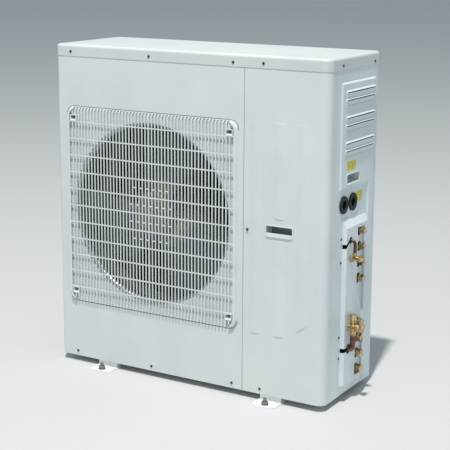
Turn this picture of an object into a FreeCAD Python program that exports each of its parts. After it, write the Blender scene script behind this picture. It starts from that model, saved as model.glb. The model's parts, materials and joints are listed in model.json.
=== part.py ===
import FreeCAD, Part
import math
import os
import re
import Sketcher
from FreeCAD import Placement, Rotation, Vector

# Outdoor unit of a split air conditioner: a tall steel cabinet with one fan behind a moulded
# grille on the left, a compressor chamber on the right, and the refrigerant valves and flare
# ports on its right side. Millimetres, +Z up, the front looks towards -Y and +X is to the right.
# The origin lies on the ground at the centre of the four foot slots.

# Driving dimensions: name, size in mm (or a count), meaning
SIZES = [
    ("cabinet_width", 940, "over the side walls"),
    ("cabinet_depth", 330, "front sheet to rear sheet"),
    ("cabinet_height", 1000, "lower edge of the front sheets to the roof"),
    ("foot_height", 20, "ground to the lower edge of the sheets"),
    ("sheet_gauge", 1.0, "thickness of the painted sheets"),
    ("fit_gap", 0.3, "gap between sheets and parts that lie against each other"),
    ("front_corner", 25, "outer radius of the front right corner"),
    ("left_corner", 9, "outer radius of the front left bend"),
    ("rear_corner", 12, "outer radius of the rear right corner"),
    ("seam_from_left", 671, "left wall to the seam between the front sheets"),
    ("seam_flange", 14, "inward fold of both front sheets at the seam"),
    ("left_return", 96, "front sheet's fold along the left wall"),
    ("side_seam", 50, "front to the seam on the right wall"),
    ("rear_seam", 30, "right wall to the seam on the rear wall"),
    ("seam_lap", 12, "rear sheet's tongue behind that seam"),
    ("cover_skirt", 36, "height of the roof's skirt"),
    ("cover_gauge", 1.0, "thickness of the roof"),
    ("cover_round", 9, "rounding of the roof's upper edge"),
    ("pan_gauge", 1.5, "thickness of the base pan"),
    ("pan_flange", 31, "height of the base pan's rim"),
    ("pan_window", 112, "front to the wall's cut-out over the pan's rim"),
    ("drain_diameter", 24, "drain hole in the base pan"),
    ("drain_from_left", 330, "left wall to the drain hole"),
    ("drain_from_front", 150, "front to the drain hole"),
    ("seat_diameter", 190, "raised compressor seat in the pan"),
    ("seat_height", 6, "height of the compressor seat"),
    ("foot_pitch_across", 590, "left to right distance of the foot slots"),
    ("foot_pitch_deep", 386, "front to rear distance of the foot slots"),
    ("foot_gauge", 3, "thickness of the foot straps"),
    ("foot_wide", 78, "width of a foot strap"),
    ("foot_nose", 54, "width of the strap's nose"),
    ("foot_reach", 20, "slot centre to the end of the nose"),
    ("rail_width", 70, "width of the rail channel on the strap"),
    ("rail_setback", 6, "sheet edge to the rail channel"),
    ("rail_block", 30, "sheet edge to the channel's hollow"),
    ("slot_width", 12, "width of a foot slot"),
    ("slot_length", 24, "end to end length of a foot slot"),
    ("fan_from_left", 345, "left wall to the fan axis"),
    ("fan_above_edge", 498, "lower edge of the sheets to the fan axis"),
    ("tip_gap", 6, "blade tips to the bell mouth"),
    ("mouth_flare", 13, "flare of the bell mouth, all round"),
    ("mouth_depth", 88, "depth of the bell mouth"),
    ("mouth_gauge", 1.6, "thickness of the bell mouth"),
    ("mouth_flange", 16, "width of the bell mouth's flange"),
    ("grille_width", 614, "outer width of the grille"),
    ("grille_height", 622, "outer height of the grille"),
    ("grille_stand", 15, "how far the grille stands out"),
    ("grille_inset", 12, "slope of the grille's walls"),
    ("grille_corner", 28, "outer corner radius of the grille"),
    ("grille_gauge", 3, "wall of the grille's frame"),
    ("grille_border", 2, "plain border beside the slots"),
    ("grille_rim", 3, "closed rim of the slotted walls"),
    ("slot_count", 50, "slots across the grille"),
    ("bar_width", 3.9, "width of an upright bar"),
    ("middle_bar_width", 6.4, "width of the middle upright bar"),
    ("bar_depth", 3, "depth of an upright bar"),
    ("row_count", 11, "cross bars of the grille"),
    ("row_pitch", 52.9, "distance between cross bars"),
    ("row_width", 4.6, "height of a cross bar"),
    ("row_depth", 3, "depth of a cross bar"),
    ("grille_boss", 22, "side of a grille screw boss"),
    ("boss_from_edge", 31, "grille edge to a boss centre, sideways"),
    ("boss_from_rim", 34, "grille edge to a boss centre, up and down"),
    ("fan_diameter", 524, "over the blade tips"),
    ("fan_depth", 74, "axial depth of the blades"),
    ("fan_from_front", 12, "front sheet to the fan's front edge"),
    ("blade_count", 3, "blades of the fan"),
    ("blade_gauge", 3, "thickness of a blade"),
    ("hub_diameter", 136, "fan hub"),
    ("hub_wall", 3, "wall of the fan hub"),
    ("nut_depth", 9, "depth of the fan nut"),
    ("shaft_proud", 2, "shaft in front of the fan nut"),
    ("shaft_diameter", 12, "motor shaft"),
    ("running_gap", 0.05, "radial clearance round the shaft"),
    ("nut_across", 22, "diameter of the fan nut"),
    ("motor_diameter", 124, "fan motor"),
    ("motor_depth", 78, "length of the fan motor"),
    ("motor_gap", 12, "fan to the motor can"),
    ("motor_round", 16, "rounding of the motor can"),
    ("motor_nose", 10, "bearing nose of the motor"),
    ("motor_lug", 4, "thickness of the motor lugs"),
    ("bore_depth", 45, "depth of the shaft bore"),
    ("bracket_width", 96, "outer width of the motor bracket"),
    ("bracket_post", 22, "width of a bracket post"),
    ("bracket_depth", 16, "depth of a bracket post"),
    ("bracket_gauge", 2, "sheet of the motor bracket"),
    ("coil_depth", 38, "thickness of the coil"),
    ("coil_gap", 13, "rear wall to the coil"),
    ("coil_headroom", 59, "sheet top to the coil"),
    ("coil_bend", 60, "outer bend radius of the coil"),
    ("mouth_clear", 6, "bell mouth to the coil's arm behind it"),
    ("coil_end", 2, "thickness of a coil end plate"),
    ("coil_margin", 3, "end plate beyond the coil"),
    ("bend_count", 12, "return bends at the coil's end"),
    ("tube_diameter", 9.5, "coil tubes"),
    ("bend_pitch", 76, "distance between return bends"),
    ("bend_span", 25, "tube spacing within a return bend"),
    ("partition_from_left", 675, "left wall to the partition"),
    ("guard_wire", 3, "thickness of the coil guard's bars"),
    ("guard_pitch", 65, "mesh of the coil guard"),
    ("guard_lap", 12, "guard behind the sheets' edges"),
    ("post_leg", 32, "leg of the rear left post"),
    ("emboss_rise", 4, "how far the right wall's pressing stands out"),
    ("emboss_slope", 5, "slope round the pressing"),
    ("emboss_from_front", 73, "front to the pressing"),
    ("emboss_end", 300, "front to the rear end of the pressing"),
    ("emboss_low", 620, "lower edge of the louvred part"),
    ("emboss_high", 928, "upper edge of the louvred part"),
    ("emboss_leg", 262, "front to the pressing's rear leg"),
    ("emboss_foot", 10, "lower end of the rear leg"),
    ("louvre_from_front", 99, "front to the louvres"),
    ("louvre_length", 190, "length of a louvre"),
    ("louvre_high", 905, "top of the uppermost louvre"),
    ("louvre_pair", 22, "distance between the two louvres of a pair"),
    ("louvre_group", 72.8, "distance between louvre pairs"),
    ("louvre_groups", 3, "louvre pairs"),
    ("louvre_drop", 15, "height of a louvre hood"),
    ("louvre_rise", 6, "how far a louvre hood stands out"),
    ("side_grip_from_front", 156, "front to the centre of the side grip"),
    ("side_grip_above", 648, "lower edge of the sheets to the side grip"),
    ("side_grip_width", 86, "width of the side grip"),
    ("side_grip_height", 30, "height of the side grip"),
    ("grip_depth", 30, "depth of both grips"),
    ("grip_wall", 1.5, "wall of both grips"),
    ("grip_lip", 4, "flange of both grips on the sheet"),
    ("grip_corner", 6, "corner radius of both grips"),
    ("grip_scoop", 2, "rise of the grips' floor"),
    ("grip_proud", 3, "how far the grips' lower lip stands out"),
    ("front_grip_from_left", 788.5, "left wall to the centre of the front grip"),
    ("front_grip_above", 499, "lower edge of the sheets to the front grip"),
    ("front_grip_width", 88, "width of the front grip"),
    ("front_grip_height", 33, "height of the front grip"),
    ("rib_width", 40, "width of an embossed rib"),
    ("rib_rise", 1.6, "height of an embossed rib"),
    ("rib_pitch", 76.5, "distance between the ribs"),
    ("first_rib_from_left", 712, "left wall to the first rib"),
    ("rib_low", 186, "lower end of the ribs"),
    ("rib_high", 811, "upper end of the ribs"),
    ("rib_break_low", 471.5, "lower end of the middle rib's break"),
    ("rib_break_high", 536, "upper end of the middle rib's break"),
    ("rib_slant_low", 206, "lower end of the third rib, inner side"),
    ("rib_slant_high", 236, "lower end of the third rib, outer side"),
    ("grommet_diameter", 52, "cable grommet over its flange"),
    ("grommet_neck", 40, "cable grommet in the sheet"),
    ("grommet_bore", 26, "cable passage of a grommet"),
    ("grommet_from_front", 103, "front to the first grommet"),
    ("grommet_pitch", 60, "distance between the grommets"),
    ("grommet_above", 577, "lower edge of the sheets to the grommets"),
    ("grommet_gauge", 4, "thickness of a grommet flange"),
    ("plate_from_front", 88, "front to the valve plate's flange"),
    ("plate_wide", 168, "width of the valve plate over its flange"),
    ("box_from_front", 104, "front to the valve plate's box"),
    ("box_wide", 143, "width of the box's face"),
    ("plate_low", 31, "lower edge of the valve plate"),
    ("plate_high", 536, "upper edge of the valve plate"),
    ("plate_rise", 14, "how far the valve plate's box stands out"),
    ("plate_border", 12, "flange round the valve plate's box"),
    ("plate_slope", 4, "slope of the box walls"),
    ("plate_crown", 22, "slope at the box's upper end"),
    ("groove_from_front", 178, "front to the port groove"),
    ("groove_wide", 50, "width of the port groove"),
    ("groove_end", 10, "box end to groove end"),
    ("groove_depth", 7, "depth of the port groove"),
    ("port_from_front", 203, "front to the flare ports"),
    ("port_pitch", 48, "distance between flare ports"),
    ("liquid_port_high", 485, "uppermost liquid port"),
    ("gas_port_high", 205, "uppermost gas port"),
    ("ports_per_group", 4, "flare ports of each kind"),
    ("port_hole", 30, "hole in the plate behind a port"),
    ("liquid_port", 13, "liquid port stub"),
    ("gas_port", 18, "gas port stub"),
    ("port_collar", 3, "hexagon's height outside the groove"),
    ("cap_reach", 11, "box face to the tip of the port caps"),
    ("cap_end", 3, "end wall of a port cap"),
    ("liquid_cap", 22, "across the corners of a liquid port's cap"),
    ("gas_cap", 27, "across the corners of a gas port's cap"),
    ("cap_length", 14, "length of a port cap"),
    ("valve_from_front", 131, "front to the service valves"),
    ("valve_stand", 14, "box face to the service valves' axis"),
    ("liquid_valve_above", 418, "liquid service valve"),
    ("gas_valve_above", 211, "gas service valve"),
    ("liquid_valve_size", 18, "liquid valve body"),
    ("gas_valve_size", 24, "gas valve body"),
    ("liquid_entry_above", 470, "hole for the liquid tube"),
    ("gas_entry_above", 142, "hole for the gas tube"),
    ("liquid_entry", 20, "diameter of the liquid tube's hole"),
    ("gas_entry", 30, "diameter of the gas tube's hole"),
    ("entry_slot", 13, "width of the slot from hole to edge"),
    ("entry_fall", 15, "how far the liquid slot falls to the edge"),
    ("sleeve_length", 14, "length of a tube sleeve"),
    ("valve_cap", 14, "length of a service valve's cap"),
    ("liquid_outlet_cap", 21, "across the corners of the liquid valve's outlet cap"),
    ("gas_outlet_cap", 28, "across the corners of the gas valve's outlet cap"),
    ("outlet_neck", 6, "outlet's length outside the valve body"),
    ("charge_cap", 13, "diameter of the charging ports' caps"),
    ("charge_cap_length", 8, "length of the charging ports' caps"),
    ("small_bend", 12, "bend radius outside the plate"),
    ("liquid_tube", 9.5, "outer diameter of the liquid tube"),
    ("gas_tube", 15.9, "outer diameter of the gas tube"),
    ("compressor_diameter", 140, "compressor shell"),
    ("compressor_height", 300, "compressor shell without its feet"),
    ("compressor_dome", 34, "rounding of the shell's top"),
    ("foot_plate_reach", 112, "axis to a corner of the foot plate"),
    ("compressor_from_left", 775, "left wall to the compressor axis"),
    ("compressor_from_front", 152, "front to the compressor axis"),
    ("mount_circle", 160, "circle of the compressor's rubber feet"),
    ("mount_height", 16, "height of a rubber foot"),
    ("mount_diameter", 28, "rubber foot"),
    ("stud_diameter", 8, "compressor stud"),
    ("plate_gauge", 3, "compressor foot plate"),
    ("accumulator_diameter", 76, "suction accumulator"),
    ("accumulator_height", 220, "suction accumulator"),
    ("accumulator_low", 60, "pan floor to the accumulator"),
    ("accumulator_dome", 22, "rounding of the accumulator"),
    ("strap_width", 30, "width of the accumulator's clamp"),
    ("strap_gauge", 2, "thickness of the clamp"),
    ("accumulator_from_front", 272, "front to the accumulator"),
    ("switch_above", 460, "lower edge of the sheets to the four-way valve"),
    ("switch_length", 86, "body of the four-way valve"),
    ("switch_diameter", 24, "body of the four-way valve"),
    ("switch_pitch", 25, "distance between its lower stubs"),
    ("switch_stub", 26, "axis to the end of a stub"),
    ("discharge_tube", 9.5, "discharge pipe"),
    ("suction_tube", 12.7, "suction and gas pipes"),
    ("pipe_bend", 20, "bend radius of the pipes"),
    ("riser_bend", 14, "bend radius of the pipe beside the liquid header"),
    ("riser_gap", 6, "liquid header to the pipe beside it"),
    ("header_tube", 12, "liquid header"),
    ("header_end", 12, "header beyond its last branch"),
    ("liquid_header_inside", 90, "right wall to the liquid header"),
    ("gas_header_inside", 70, "right wall to the gas header"),
    ("expansion_inside", 74, "right wall to the expansion valves"),
    ("stub_inside", 35, "right wall to the inner end of the ports"),
    ("expansion_body", 16, "body of an expansion valve"),
    ("expansion_coil", 32, "coil of an expansion valve"),
    ("pipe_drop", 29, "header end to the pipe's crossing"),
    ("box_width", 236, "electrical box"),
    ("box_height", 285, "electrical box"),
    ("box_depth", 230, "electrical box"),
    ("box_gauge", 1.2, "sheet of the electrical box"),
    ("board_gauge", 1.6, "control board"),
    ("board_stand", 20, "rear wall to the control board"),
    ("board_margin", 12, "gap round the control board"),
    ("can_length", 60, "length of a capacitor"),
    ("can_diameter", 35, "diameter of a capacitor"),
    ("box_headroom", 4, "sheet top to the electrical box"),
    ("sink_below", 181, "sheet top to the cooler's middle"),
    ("sink_from_front", 165, "front to the cooler's middle"),
    ("sink_wide", 120, "cooler"),
    ("sink_high", 140, "cooler"),
    ("sink_base", 4, "cooler's base"),
    ("sink_fins", 9, "fins of the cooler"),
    ("sink_fin", 2, "thickness of a fin"),
    ("sink_reach", 44, "height of a fin"),
    ("reactor_from_front", 60, "front to the reactor"),
    ("reactor_above", 560, "lower edge of the sheets to the reactor"),
    ("reactor_size", 70, "core of the reactor"),
    ("drain_wall", 3, "wall of the drain spigot"),
    ("drain_drop", 12, "spigot below the pan"),
]

# Worked-out places, in the model's own frame
PLACES = [
    ("left", "-cabinet_width / 2"),
    ("right", "cabinet_width / 2"),
    ("front", "-cabinet_depth / 2"),
    ("rear", "cabinet_depth / 2"),
    ("base", "foot_height"),
    ("roof", "foot_height + cabinet_height"),
    ("inner_left", "left + sheet_gauge"),
    ("inner_right", "right - sheet_gauge"),
    ("inner_front", "front + sheet_gauge"),
    ("inner_rear", "rear - sheet_gauge"),
    ("sheet_top", "roof - cover_round - fit_gap"),
    ("seam", "left + seam_from_left"),
    ("side_seam_y", "front + side_seam"),
    ("rear_seam_x", "right - rear_seam"),
    ("pan_left", "inner_left + fit_gap"),
    ("pan_right", "inner_right - fit_gap"),
    ("pan_front", "inner_front + fit_gap"),
    ("pan_rear", "inner_rear - fit_gap"),
    ("pan_floor", "base + pan_gauge"),
    ("fan_x", "left + fan_from_left"),
    ("fan_z", "base + fan_above_edge"),
    ("throat_diameter", "fan_diameter + 2 * tip_gap"),
    ("opening_diameter", "throat_diameter + 2 * mouth_flare"),
    ("grille_front", "front - grille_stand"),
    ("face_width", "grille_width - 2 * grille_inset"),
    ("face_height", "grille_height - 2 * grille_inset"),
    ("slot_field", "face_width - 2 * grille_border"),
    ("slot_pitch", "(slot_field + bar_width) / slot_count"),
    ("hub_front", "front + fan_from_front"),
    ("hub_rear", "hub_front + fan_depth"),
    ("shaft_tip", "hub_front - fit_gap - nut_depth - shaft_proud"),
    ("motor_front", "hub_rear + motor_gap"),
    ("motor_rear", "motor_front + motor_depth"),
    ("coil_rear", "inner_rear - coil_gap"),
    ("coil_front", "coil_rear - coil_depth"),
    ("coil_left", "inner_left + coil_gap"),
    ("coil_arm_front", "front + mouth_depth + mouth_clear + coil_end + fit_gap"),
    ("coil_base", "pan_floor + fit_gap"),
    ("coil_top", "sheet_top - coil_headroom"),
    ("coil_height", "coil_top - coil_base"),
    ("partition_x", "left + partition_from_left"),
    ("coil_end_x", "partition_x - coil_end - 2 * fit_gap"),
    ("partition_end", "coil_front - coil_margin - fit_gap"),
    ("bend_x", "coil_end_x + fit_gap + coil_end + fit_gap"),
    ("bend_y", "coil_rear - coil_depth / 2"),
    ("front_grip_x", "left + front_grip_from_left"),
    ("front_grip_z", "base + front_grip_above"),
    ("side_grip_y", "front + side_grip_from_front"),
    ("side_grip_z", "base + side_grip_above"),
    ("grommet_y", "front + grommet_from_front"),
    ("grommet_z", "base + grommet_above"),
    ("plate_y", "front + plate_from_front"),
    ("box_y", "front + box_from_front"),
    ("groove_y", "front + groove_from_front"),
    ("plate_hole_front", "box_y + sheet_gauge"),
    ("plate_hole_rear", "box_y + box_wide - sheet_gauge"),
    ("plate_hole_low", "base + plate_low + 2 * plate_slope"),
    ("plate_hole_top", "base + plate_high - plate_border - plate_crown"),
    ("liquid_entry_z", "base + liquid_entry_above"),
    ("gas_entry_z", "base + gas_entry_above"),
    ("emboss_face", "right + emboss_rise"),
    ("plate_face", "right + plate_rise"),
    ("groove_face", "plate_face - groove_depth"),
    ("cap_tip", "plate_face + cap_reach"),
    ("port_y", "front + port_from_front"),
    ("valve_y", "front + valve_from_front"),
    ("valve_x", "plate_face + valve_stand"),
    ("compressor_x", "left + compressor_from_left"),
    ("compressor_y", "front + compressor_from_front"),
    ("mount_seat", "pan_floor + seat_height"),
    ("shell_base", "mount_seat + mount_height"),
    ("accumulator_base", "pan_floor + accumulator_low"),
    ("accumulator_y", "front + accumulator_from_front"),
    ("box_left", "partition_x + sheet_gauge + fit_gap"),
    ("box_front", "inner_front + seam_flange"),
    ("box_base", "sheet_top - box_headroom - box_height"),
    ("switch_z", "base + switch_above"),
    ("stub_x", "right - stub_inside"),
    ("expansion_x", "right - expansion_inside"),
    ("liquid_header_x", "right - liquid_header_inside"),
    ("liquid_header_top", "base + liquid_port_high + header_end"),
    ("liquid_header_low", "base + liquid_port_high - (ports_per_group - 1) * port_pitch - header_end"),
    ("liquid_pipe_z", "liquid_header_low - pipe_drop"),
    ("gas_header_x", "right - gas_header_inside"),
    ("gas_header_top", "base + gas_port_high + header_end"),
    ("gas_header_low", "base + gas_port_high - (ports_per_group - 1) * port_pitch - header_end"),
    ("gas_riser_x", "liquid_header_x - header_tube / 2 - riser_gap - suction_tube / 2"),
    ("gas_pipe_z", "gas_header_top + 2 * pipe_drop"),
    ("sink_y", "front + sink_from_front"),
    ("sink_z", "sheet_top - sink_below"),
    ("reactor_y", "front + reactor_from_front"),
    ("reactor_z", "base + reactor_above"),
]

doc = FreeCAD.newDocument("outdoor_unit")
sheet = doc.addObject("Spreadsheet::Sheet", "Sizes")
for row, (alias, number, meaning) in enumerate(SIZES, start=1):
    sheet.set(f"A{row}", alias)
    sheet.set(f"B{row}", str(number))
    sheet.set(f"C{row}", meaning)
    sheet.setAlias(f"B{row}", alias)
doc.recompute()

places = doc.addObject("App::VarSet", "Places")
SIZE_NAMES = {alias for alias, _, _ in SIZES}
PLACE_NAMES = {name for name, _ in PLACES}


def tied(text):
    """The expression with each named size and place given its owner."""

    def owner(found):
        word = found.group(0)
        if word in SIZE_NAMES:
            return "Sizes." + word
        if word in PLACE_NAMES:
            return "Places." + word
        return word

    return re.sub(r"[a-z][a-z_0-9]*", owner, str(text))


def value(text):
    """The expression's present value in millimetres."""
    return float(sheet.evalExpression(tied(text)))


for name, text in PLACES:
    places.addProperty("App::PropertyFloat", name, "Places")
    places.setExpression(name, tied(text))
doc.recompute()

SUBPARTS = {}


def keep(thing, node):
    """Names a finished sub-part for its file."""
    thing.Label = node
    SUBPARTS[node] = thing
    return thing


def new_name(stem):
    """A free object name, so that loops can reuse a stem."""
    number = 1
    while doc.getObject(f"{stem}_{number}"):
        number += 1
    return f"{stem}_{number}"


# Sketches: every vertex is tied to the named sizes

PLANES = {"XY": "XY_Plane", "XZ": "XZ_Plane", "YZ": "YZ_Plane"}


def new_sketch(owner, plane, level):
    """An empty sketch on a plane of the body, moved to the level along the plane's axis."""
    sketch = owner.newObject("Sketcher::SketchObject", new_name(owner.Name + "_sketch"))
    origin = [part for part in owner.Origin.OriginFeatures if part.Role == PLANES[plane]][0]
    sketch.AttachmentSupport = [(origin, "")]
    sketch.MapMode = "FlatFace"
    sign = "-1" if plane == "XZ" else "1"
    sketch.setExpression("AttachmentOffset.Base.z", f"{sign} * ({tied(level)})")
    return sketch


def tie_point(sketch, curve, end, across, up):
    """Ties one point of a sketch curve to two expressions, measured from the origin."""
    number = sketch.addConstraint(
        Sketcher.Constraint("DistanceX", -1, 1, curve, end, value(across)))
    sketch.setExpression(f"Constraints[{number}]", tied(across))
    number = sketch.addConstraint(
        Sketcher.Constraint("DistanceY", -1, 1, curve, end, value(up)))
    sketch.setExpression(f"Constraints[{number}]", tied(up))


def draw_outline(sketch, points):
    """A closed outline of straight lines through tied points."""
    first = sketch.GeometryCount
    spots = [Vector(value(across), value(up), 0) for across, up in points]
    count = len(spots)
    for n in range(count):
        sketch.addGeometry(Part.LineSegment(spots[n], spots[(n + 1) % count]), False)
    for n in range(count):
        follower = first + (n + 1) % count
        sketch.addConstraint(Sketcher.Constraint("Coincident", first + n, 2, follower, 1))
    for n, (across, up) in enumerate(points):
        tie_point(sketch, first + n, 1, across, up)


def draw_circle(sketch, across, up, diameter):
    """A circle with a tied centre and a tied diameter."""
    centre = Vector(value(across), value(up), 0)
    number = sketch.addGeometry(
        Part.Circle(centre, Vector(0, 0, 1), value(diameter) / 2), False)
    tie_point(sketch, number, 3, across, up)
    rule = sketch.addConstraint(
        Sketcher.Constraint("Diameter", number, value(diameter)))
    sketch.setExpression(f"Constraints[{rule}]", tied(diameter))


def draw_slot(sketch, across, up, length, width):
    """A slot along the sketch's first axis: two lines and two tied half circles."""
    middle = Vector(value(across), value(up), 0)
    radius = value(width) / 2
    reach = value(length) / 2 - radius
    up_axis = Vector(0, 0, 1)
    ends = [(f"{across} + ({length} - ({width})) / 2", -math.pi / 2, math.pi / 2, reach),
            (f"{across} - ({length} - ({width})) / 2", math.pi / 2, 3 * math.pi / 2, -reach)]
    arcs = []
    for place, start, stop, offset in ends:
        circle = Part.Circle(middle + Vector(offset, 0, 0), up_axis, radius)
        arc = sketch.addGeometry(Part.ArcOfCircle(circle, start, stop), False)
        arcs.append(arc)
        tie_point(sketch, arc, 3, place, up)
    top = Part.LineSegment(middle + Vector(reach, radius, 0), middle + Vector(-reach, radius, 0))
    low = Part.LineSegment(middle + Vector(-reach, -radius, 0), middle + Vector(reach, -radius, 0))
    top = sketch.addGeometry(top, False)
    low = sketch.addGeometry(low, False)
    joins = [(arcs[0], 2, top, 1), (top, 2, arcs[1], 1), (arcs[1], 2, low, 1), (low, 2, arcs[0], 1)]
    for join in joins:
        sketch.addConstraint(Sketcher.Constraint("Tangent", *join))
    sketch.addConstraint(Sketcher.Constraint("Equal", arcs[0], arcs[1]))
    rule = sketch.addConstraint(Sketcher.Constraint("Radius", arcs[0], radius))
    sketch.setExpression(f"Constraints[{rule}]", tied(f"({width}) / 2"))


def draw_rounded(sketch, across, up, width, height, radius):
    """A rectangle with round corners: four tied arc centres and one tied radius."""
    size = value(radius)
    arcs = []
    for turn, (side, tier) in enumerate(((1, 1), (-1, 1), (-1, -1), (1, -1))):
        place = f"{across} + {side} * (({width}) / 2 - ({radius}))"
        level = f"{up} + {tier} * (({height}) / 2 - ({radius}))"
        circle = Part.Circle(Vector(value(place), value(level), 0), Vector(0, 0, 1), size)
        start = turn * math.pi / 2
        arc = sketch.addGeometry(Part.ArcOfCircle(circle, start, start + math.pi / 2), False)
        tie_point(sketch, arc, 3, place, level)
        arcs.append(arc)
    for n in range(4):
        before, after = arcs[n], arcs[(n + 1) % 4]
        side = Part.LineSegment(sketch.Geometry[before].EndPoint,
                                sketch.Geometry[after].StartPoint)
        line = sketch.addGeometry(side, False)
        sketch.addConstraint(Sketcher.Constraint("Tangent", before, 2, line, 1))
        sketch.addConstraint(Sketcher.Constraint("Tangent", line, 2, after, 1))
    for other in arcs[1:]:
        sketch.addConstraint(Sketcher.Constraint("Equal", arcs[0], other))
    rule = sketch.addConstraint(Sketcher.Constraint("Radius", arcs[0], size))
    sketch.setExpression(f"Constraints[{rule}]", tied(radius))


def draw_lens(sketch, across, up, width, rise):
    """A flat arc on its chord, with the arc standing out downwards."""
    left_end = Vector(value(f"{across} - ({width}) / 2"), value(up), 0)
    right_end = Vector(value(f"{across} + ({width}) / 2"), value(up), 0)
    crown = Vector(value(across), value(f"{up} - ({rise})"), 0)
    arc = sketch.addGeometry(Part.Arc(left_end, crown, right_end), False)
    chord = sketch.addGeometry(Part.LineSegment(right_end, left_end), False)
    sketch.addConstraint(Sketcher.Constraint("Coincident", arc, 2, chord, 1))
    sketch.addConstraint(Sketcher.Constraint("Coincident", chord, 2, arc, 1))
    tie_point(sketch, chord, 1, f"{across} + ({width}) / 2", up)
    tie_point(sketch, chord, 2, f"{across} - ({width}) / 2", up)
    bow = f"(({width}) ^ 2 / 4 + ({rise}) ^ 2) / (2 * ({rise}))"
    rule = sketch.addConstraint(Sketcher.Constraint("Radius", arc, value(bow)))
    sketch.setExpression(f"Constraints[{rule}]", tied(bow))


# Bodies: pads and pockets that run from a level towards the plane's positive axis

def new_body(node):
    """A body that is a sub-part by itself."""
    return keep(doc.addObject("PartDesign::Body", node), node)


def loose_body(stem):
    """A body that is only one ingredient of a sub-part, in one piece or several."""
    body = doc.addObject("PartDesign::Body", new_name(stem))
    body.AllowCompound = True
    return body


def pad(body, plane, level, length, outlines=(), **shapes):
    """Adds material from the level, as deep as the length."""
    sketch = new_sketch(body, plane, level)
    fill_sketch(sketch, outlines, **shapes)
    feature = body.newObject("PartDesign::Pad", new_name(body.Name + "_pad"))
    feature.Profile = sketch
    feature.Reversed = plane == "XZ"
    feature.setExpression("Length", tied(length))
    feature.Refine = False
    doc.recompute()
    return feature


def pocket(body, plane, level, length, outlines=(), **shapes):
    """Removes material from the level, as deep as the length, and checks that it did."""
    before = body.Shape.Volume
    sketch = new_sketch(body, plane, level)
    fill_sketch(sketch, outlines, **shapes)
    feature = body.newObject("PartDesign::Pocket", new_name(body.Name + "_pocket"))
    feature.Profile = sketch
    feature.Reversed = plane != "XZ"
    feature.setExpression("Length", tied(length))
    feature.Refine = False
    doc.recompute()
    if not body.Shape.Volume < before - 0.01:
        raise RuntimeError(f"{body.Label}: {feature.Name} cuts nothing")
    return feature


def fill_sketch(sketch, outlines=(), circles=(), slots=(), rounds=(), lenses=()):
    """Draws every shape that was asked for."""
    for points in outlines:
        draw_outline(sketch, points)
    for circle in circles:
        draw_circle(sketch, *circle)
    for slot in slots:
        draw_slot(sketch, *slot)
    for frame in rounds:
        draw_rounded(sketch, *frame)
    for lens in lenses:
        draw_lens(sketch, *lens)


def loft(body, plane, level, outline, end_level, end_outline, cutting=False):
    """A straight-sided passage from one outline to another, added or cut away."""
    sketches = []
    for height, shape in ((level, outline), (end_level, end_outline)):
        sketch = new_sketch(body, plane, height)
        if isinstance(shape, tuple):
            draw_rounded(sketch, *shape)
        else:
            draw_outline(sketch, shape)
        sketches.append(sketch)
    kind = "PartDesign::SubtractiveLoft" if cutting else "PartDesign::AdditiveLoft"
    feature = body.newObject(kind, new_name(body.Name + "_loft"))
    feature.Profile = sketches[0]
    feature.Sections = [sketches[1]]
    feature.Ruled = True
    feature.Refine = False
    doc.recompute()
    return feature


def repeat(body, feature, axis, length, count):
    """Repeats a feature evenly along one of the body's axes."""
    pattern = body.newObject("PartDesign::LinearPattern", new_name(body.Name + "_pattern"))
    pattern.Originals = [feature]
    line = [part for part in body.Origin.OriginFeatures if part.Role == axis][0]
    pattern.Direction = (line, [""])
    pattern.setExpression("Length", tied(length))
    pattern.setExpression("Occurrences", tied(count))
    pattern.Refine = False
    body.Tip = pattern
    doc.recompute()
    return pattern


def rectangle(low_across, low_up, high_across, high_up):
    """The four corners of a rectangle."""
    return [(low_across, low_up), (high_across, low_up),
            (high_across, high_up), (low_across, high_up)]


def around(across, up, width, height):
    """A rectangle about its centre."""
    return rectangle(f"{across} - ({width}) / 2", f"{up} - ({height}) / 2",
                     f"{across} + ({width}) / 2", f"{up} + ({height}) / 2")


def round_edges(body, radius, wanted):
    """Rounds the wanted edges of the body's present shape."""
    base = body.Tip
    names = [f"Edge{n}" for n, edge in enumerate(base.Shape.Edges, start=1) if wanted(edge)]
    if not names:
        raise RuntimeError(f"{body.Label}: no edge to round")
    fillet = body.newObject("PartDesign::Fillet", new_name(body.Name + "_round"))
    fillet.Base = (base, names)
    fillet.setExpression("Radius", tied(radius))
    fillet.Refine = False
    doc.recompute()
    return fillet


def round_bend(body, radius, gauge, outside, inside):
    """Rounds both sides of an upright bend in a sheet, the inside first."""
    round_edges(body, f"{radius} - {gauge}", upright_at(*inside))
    round_edges(body, radius, upright_at(*outside))


def upright_at(across, deep):
    """Picks upright edges at a place in plan."""
    x, y = value(across), value(deep)

    def wanted(edge):
        box = edge.BoundBox
        return (box.XLength < 0.01 and box.YLength < 0.01 and box.ZLength > 1
                and abs(box.XMin - x) < 0.05 and abs(box.YMin - y) < 0.05)

    return wanted


def flat_at(level):
    """Picks faces or edges that lie flat at a height."""
    height = value(level)

    def wanted(thing):
        return thing.BoundBox.ZLength < 0.01 and abs(thing.BoundBox.ZMin - height) < 0.01

    return wanted


# Primitives: boxes, rods and tubes with tied sizes and places

def place_at(thing, across, deep, up):
    thing.setExpression("Placement.Base.x", tied(across))
    thing.setExpression("Placement.Base.y", tied(deep))
    thing.setExpression("Placement.Base.z", tied(up))


def block(stem, low, size):
    """A box from its low corner and its three lengths."""
    box = doc.addObject("Part::Box", new_name(stem))
    for prop, text in zip(("Length", "Width", "Height"), size):
        box.setExpression(prop, tied(text))
    place_at(box, *low)
    return box


TURNS = {
    "X": Rotation(Vector(0, 1, 0), 90),
    "-X": Rotation(Vector(0, 1, 0), -90),
    "Y": Rotation(Vector(1, 0, 0), -90),
    "-Y": Rotation(Vector(1, 0, 0), 90),
    "Z": Rotation(),
}


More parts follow.
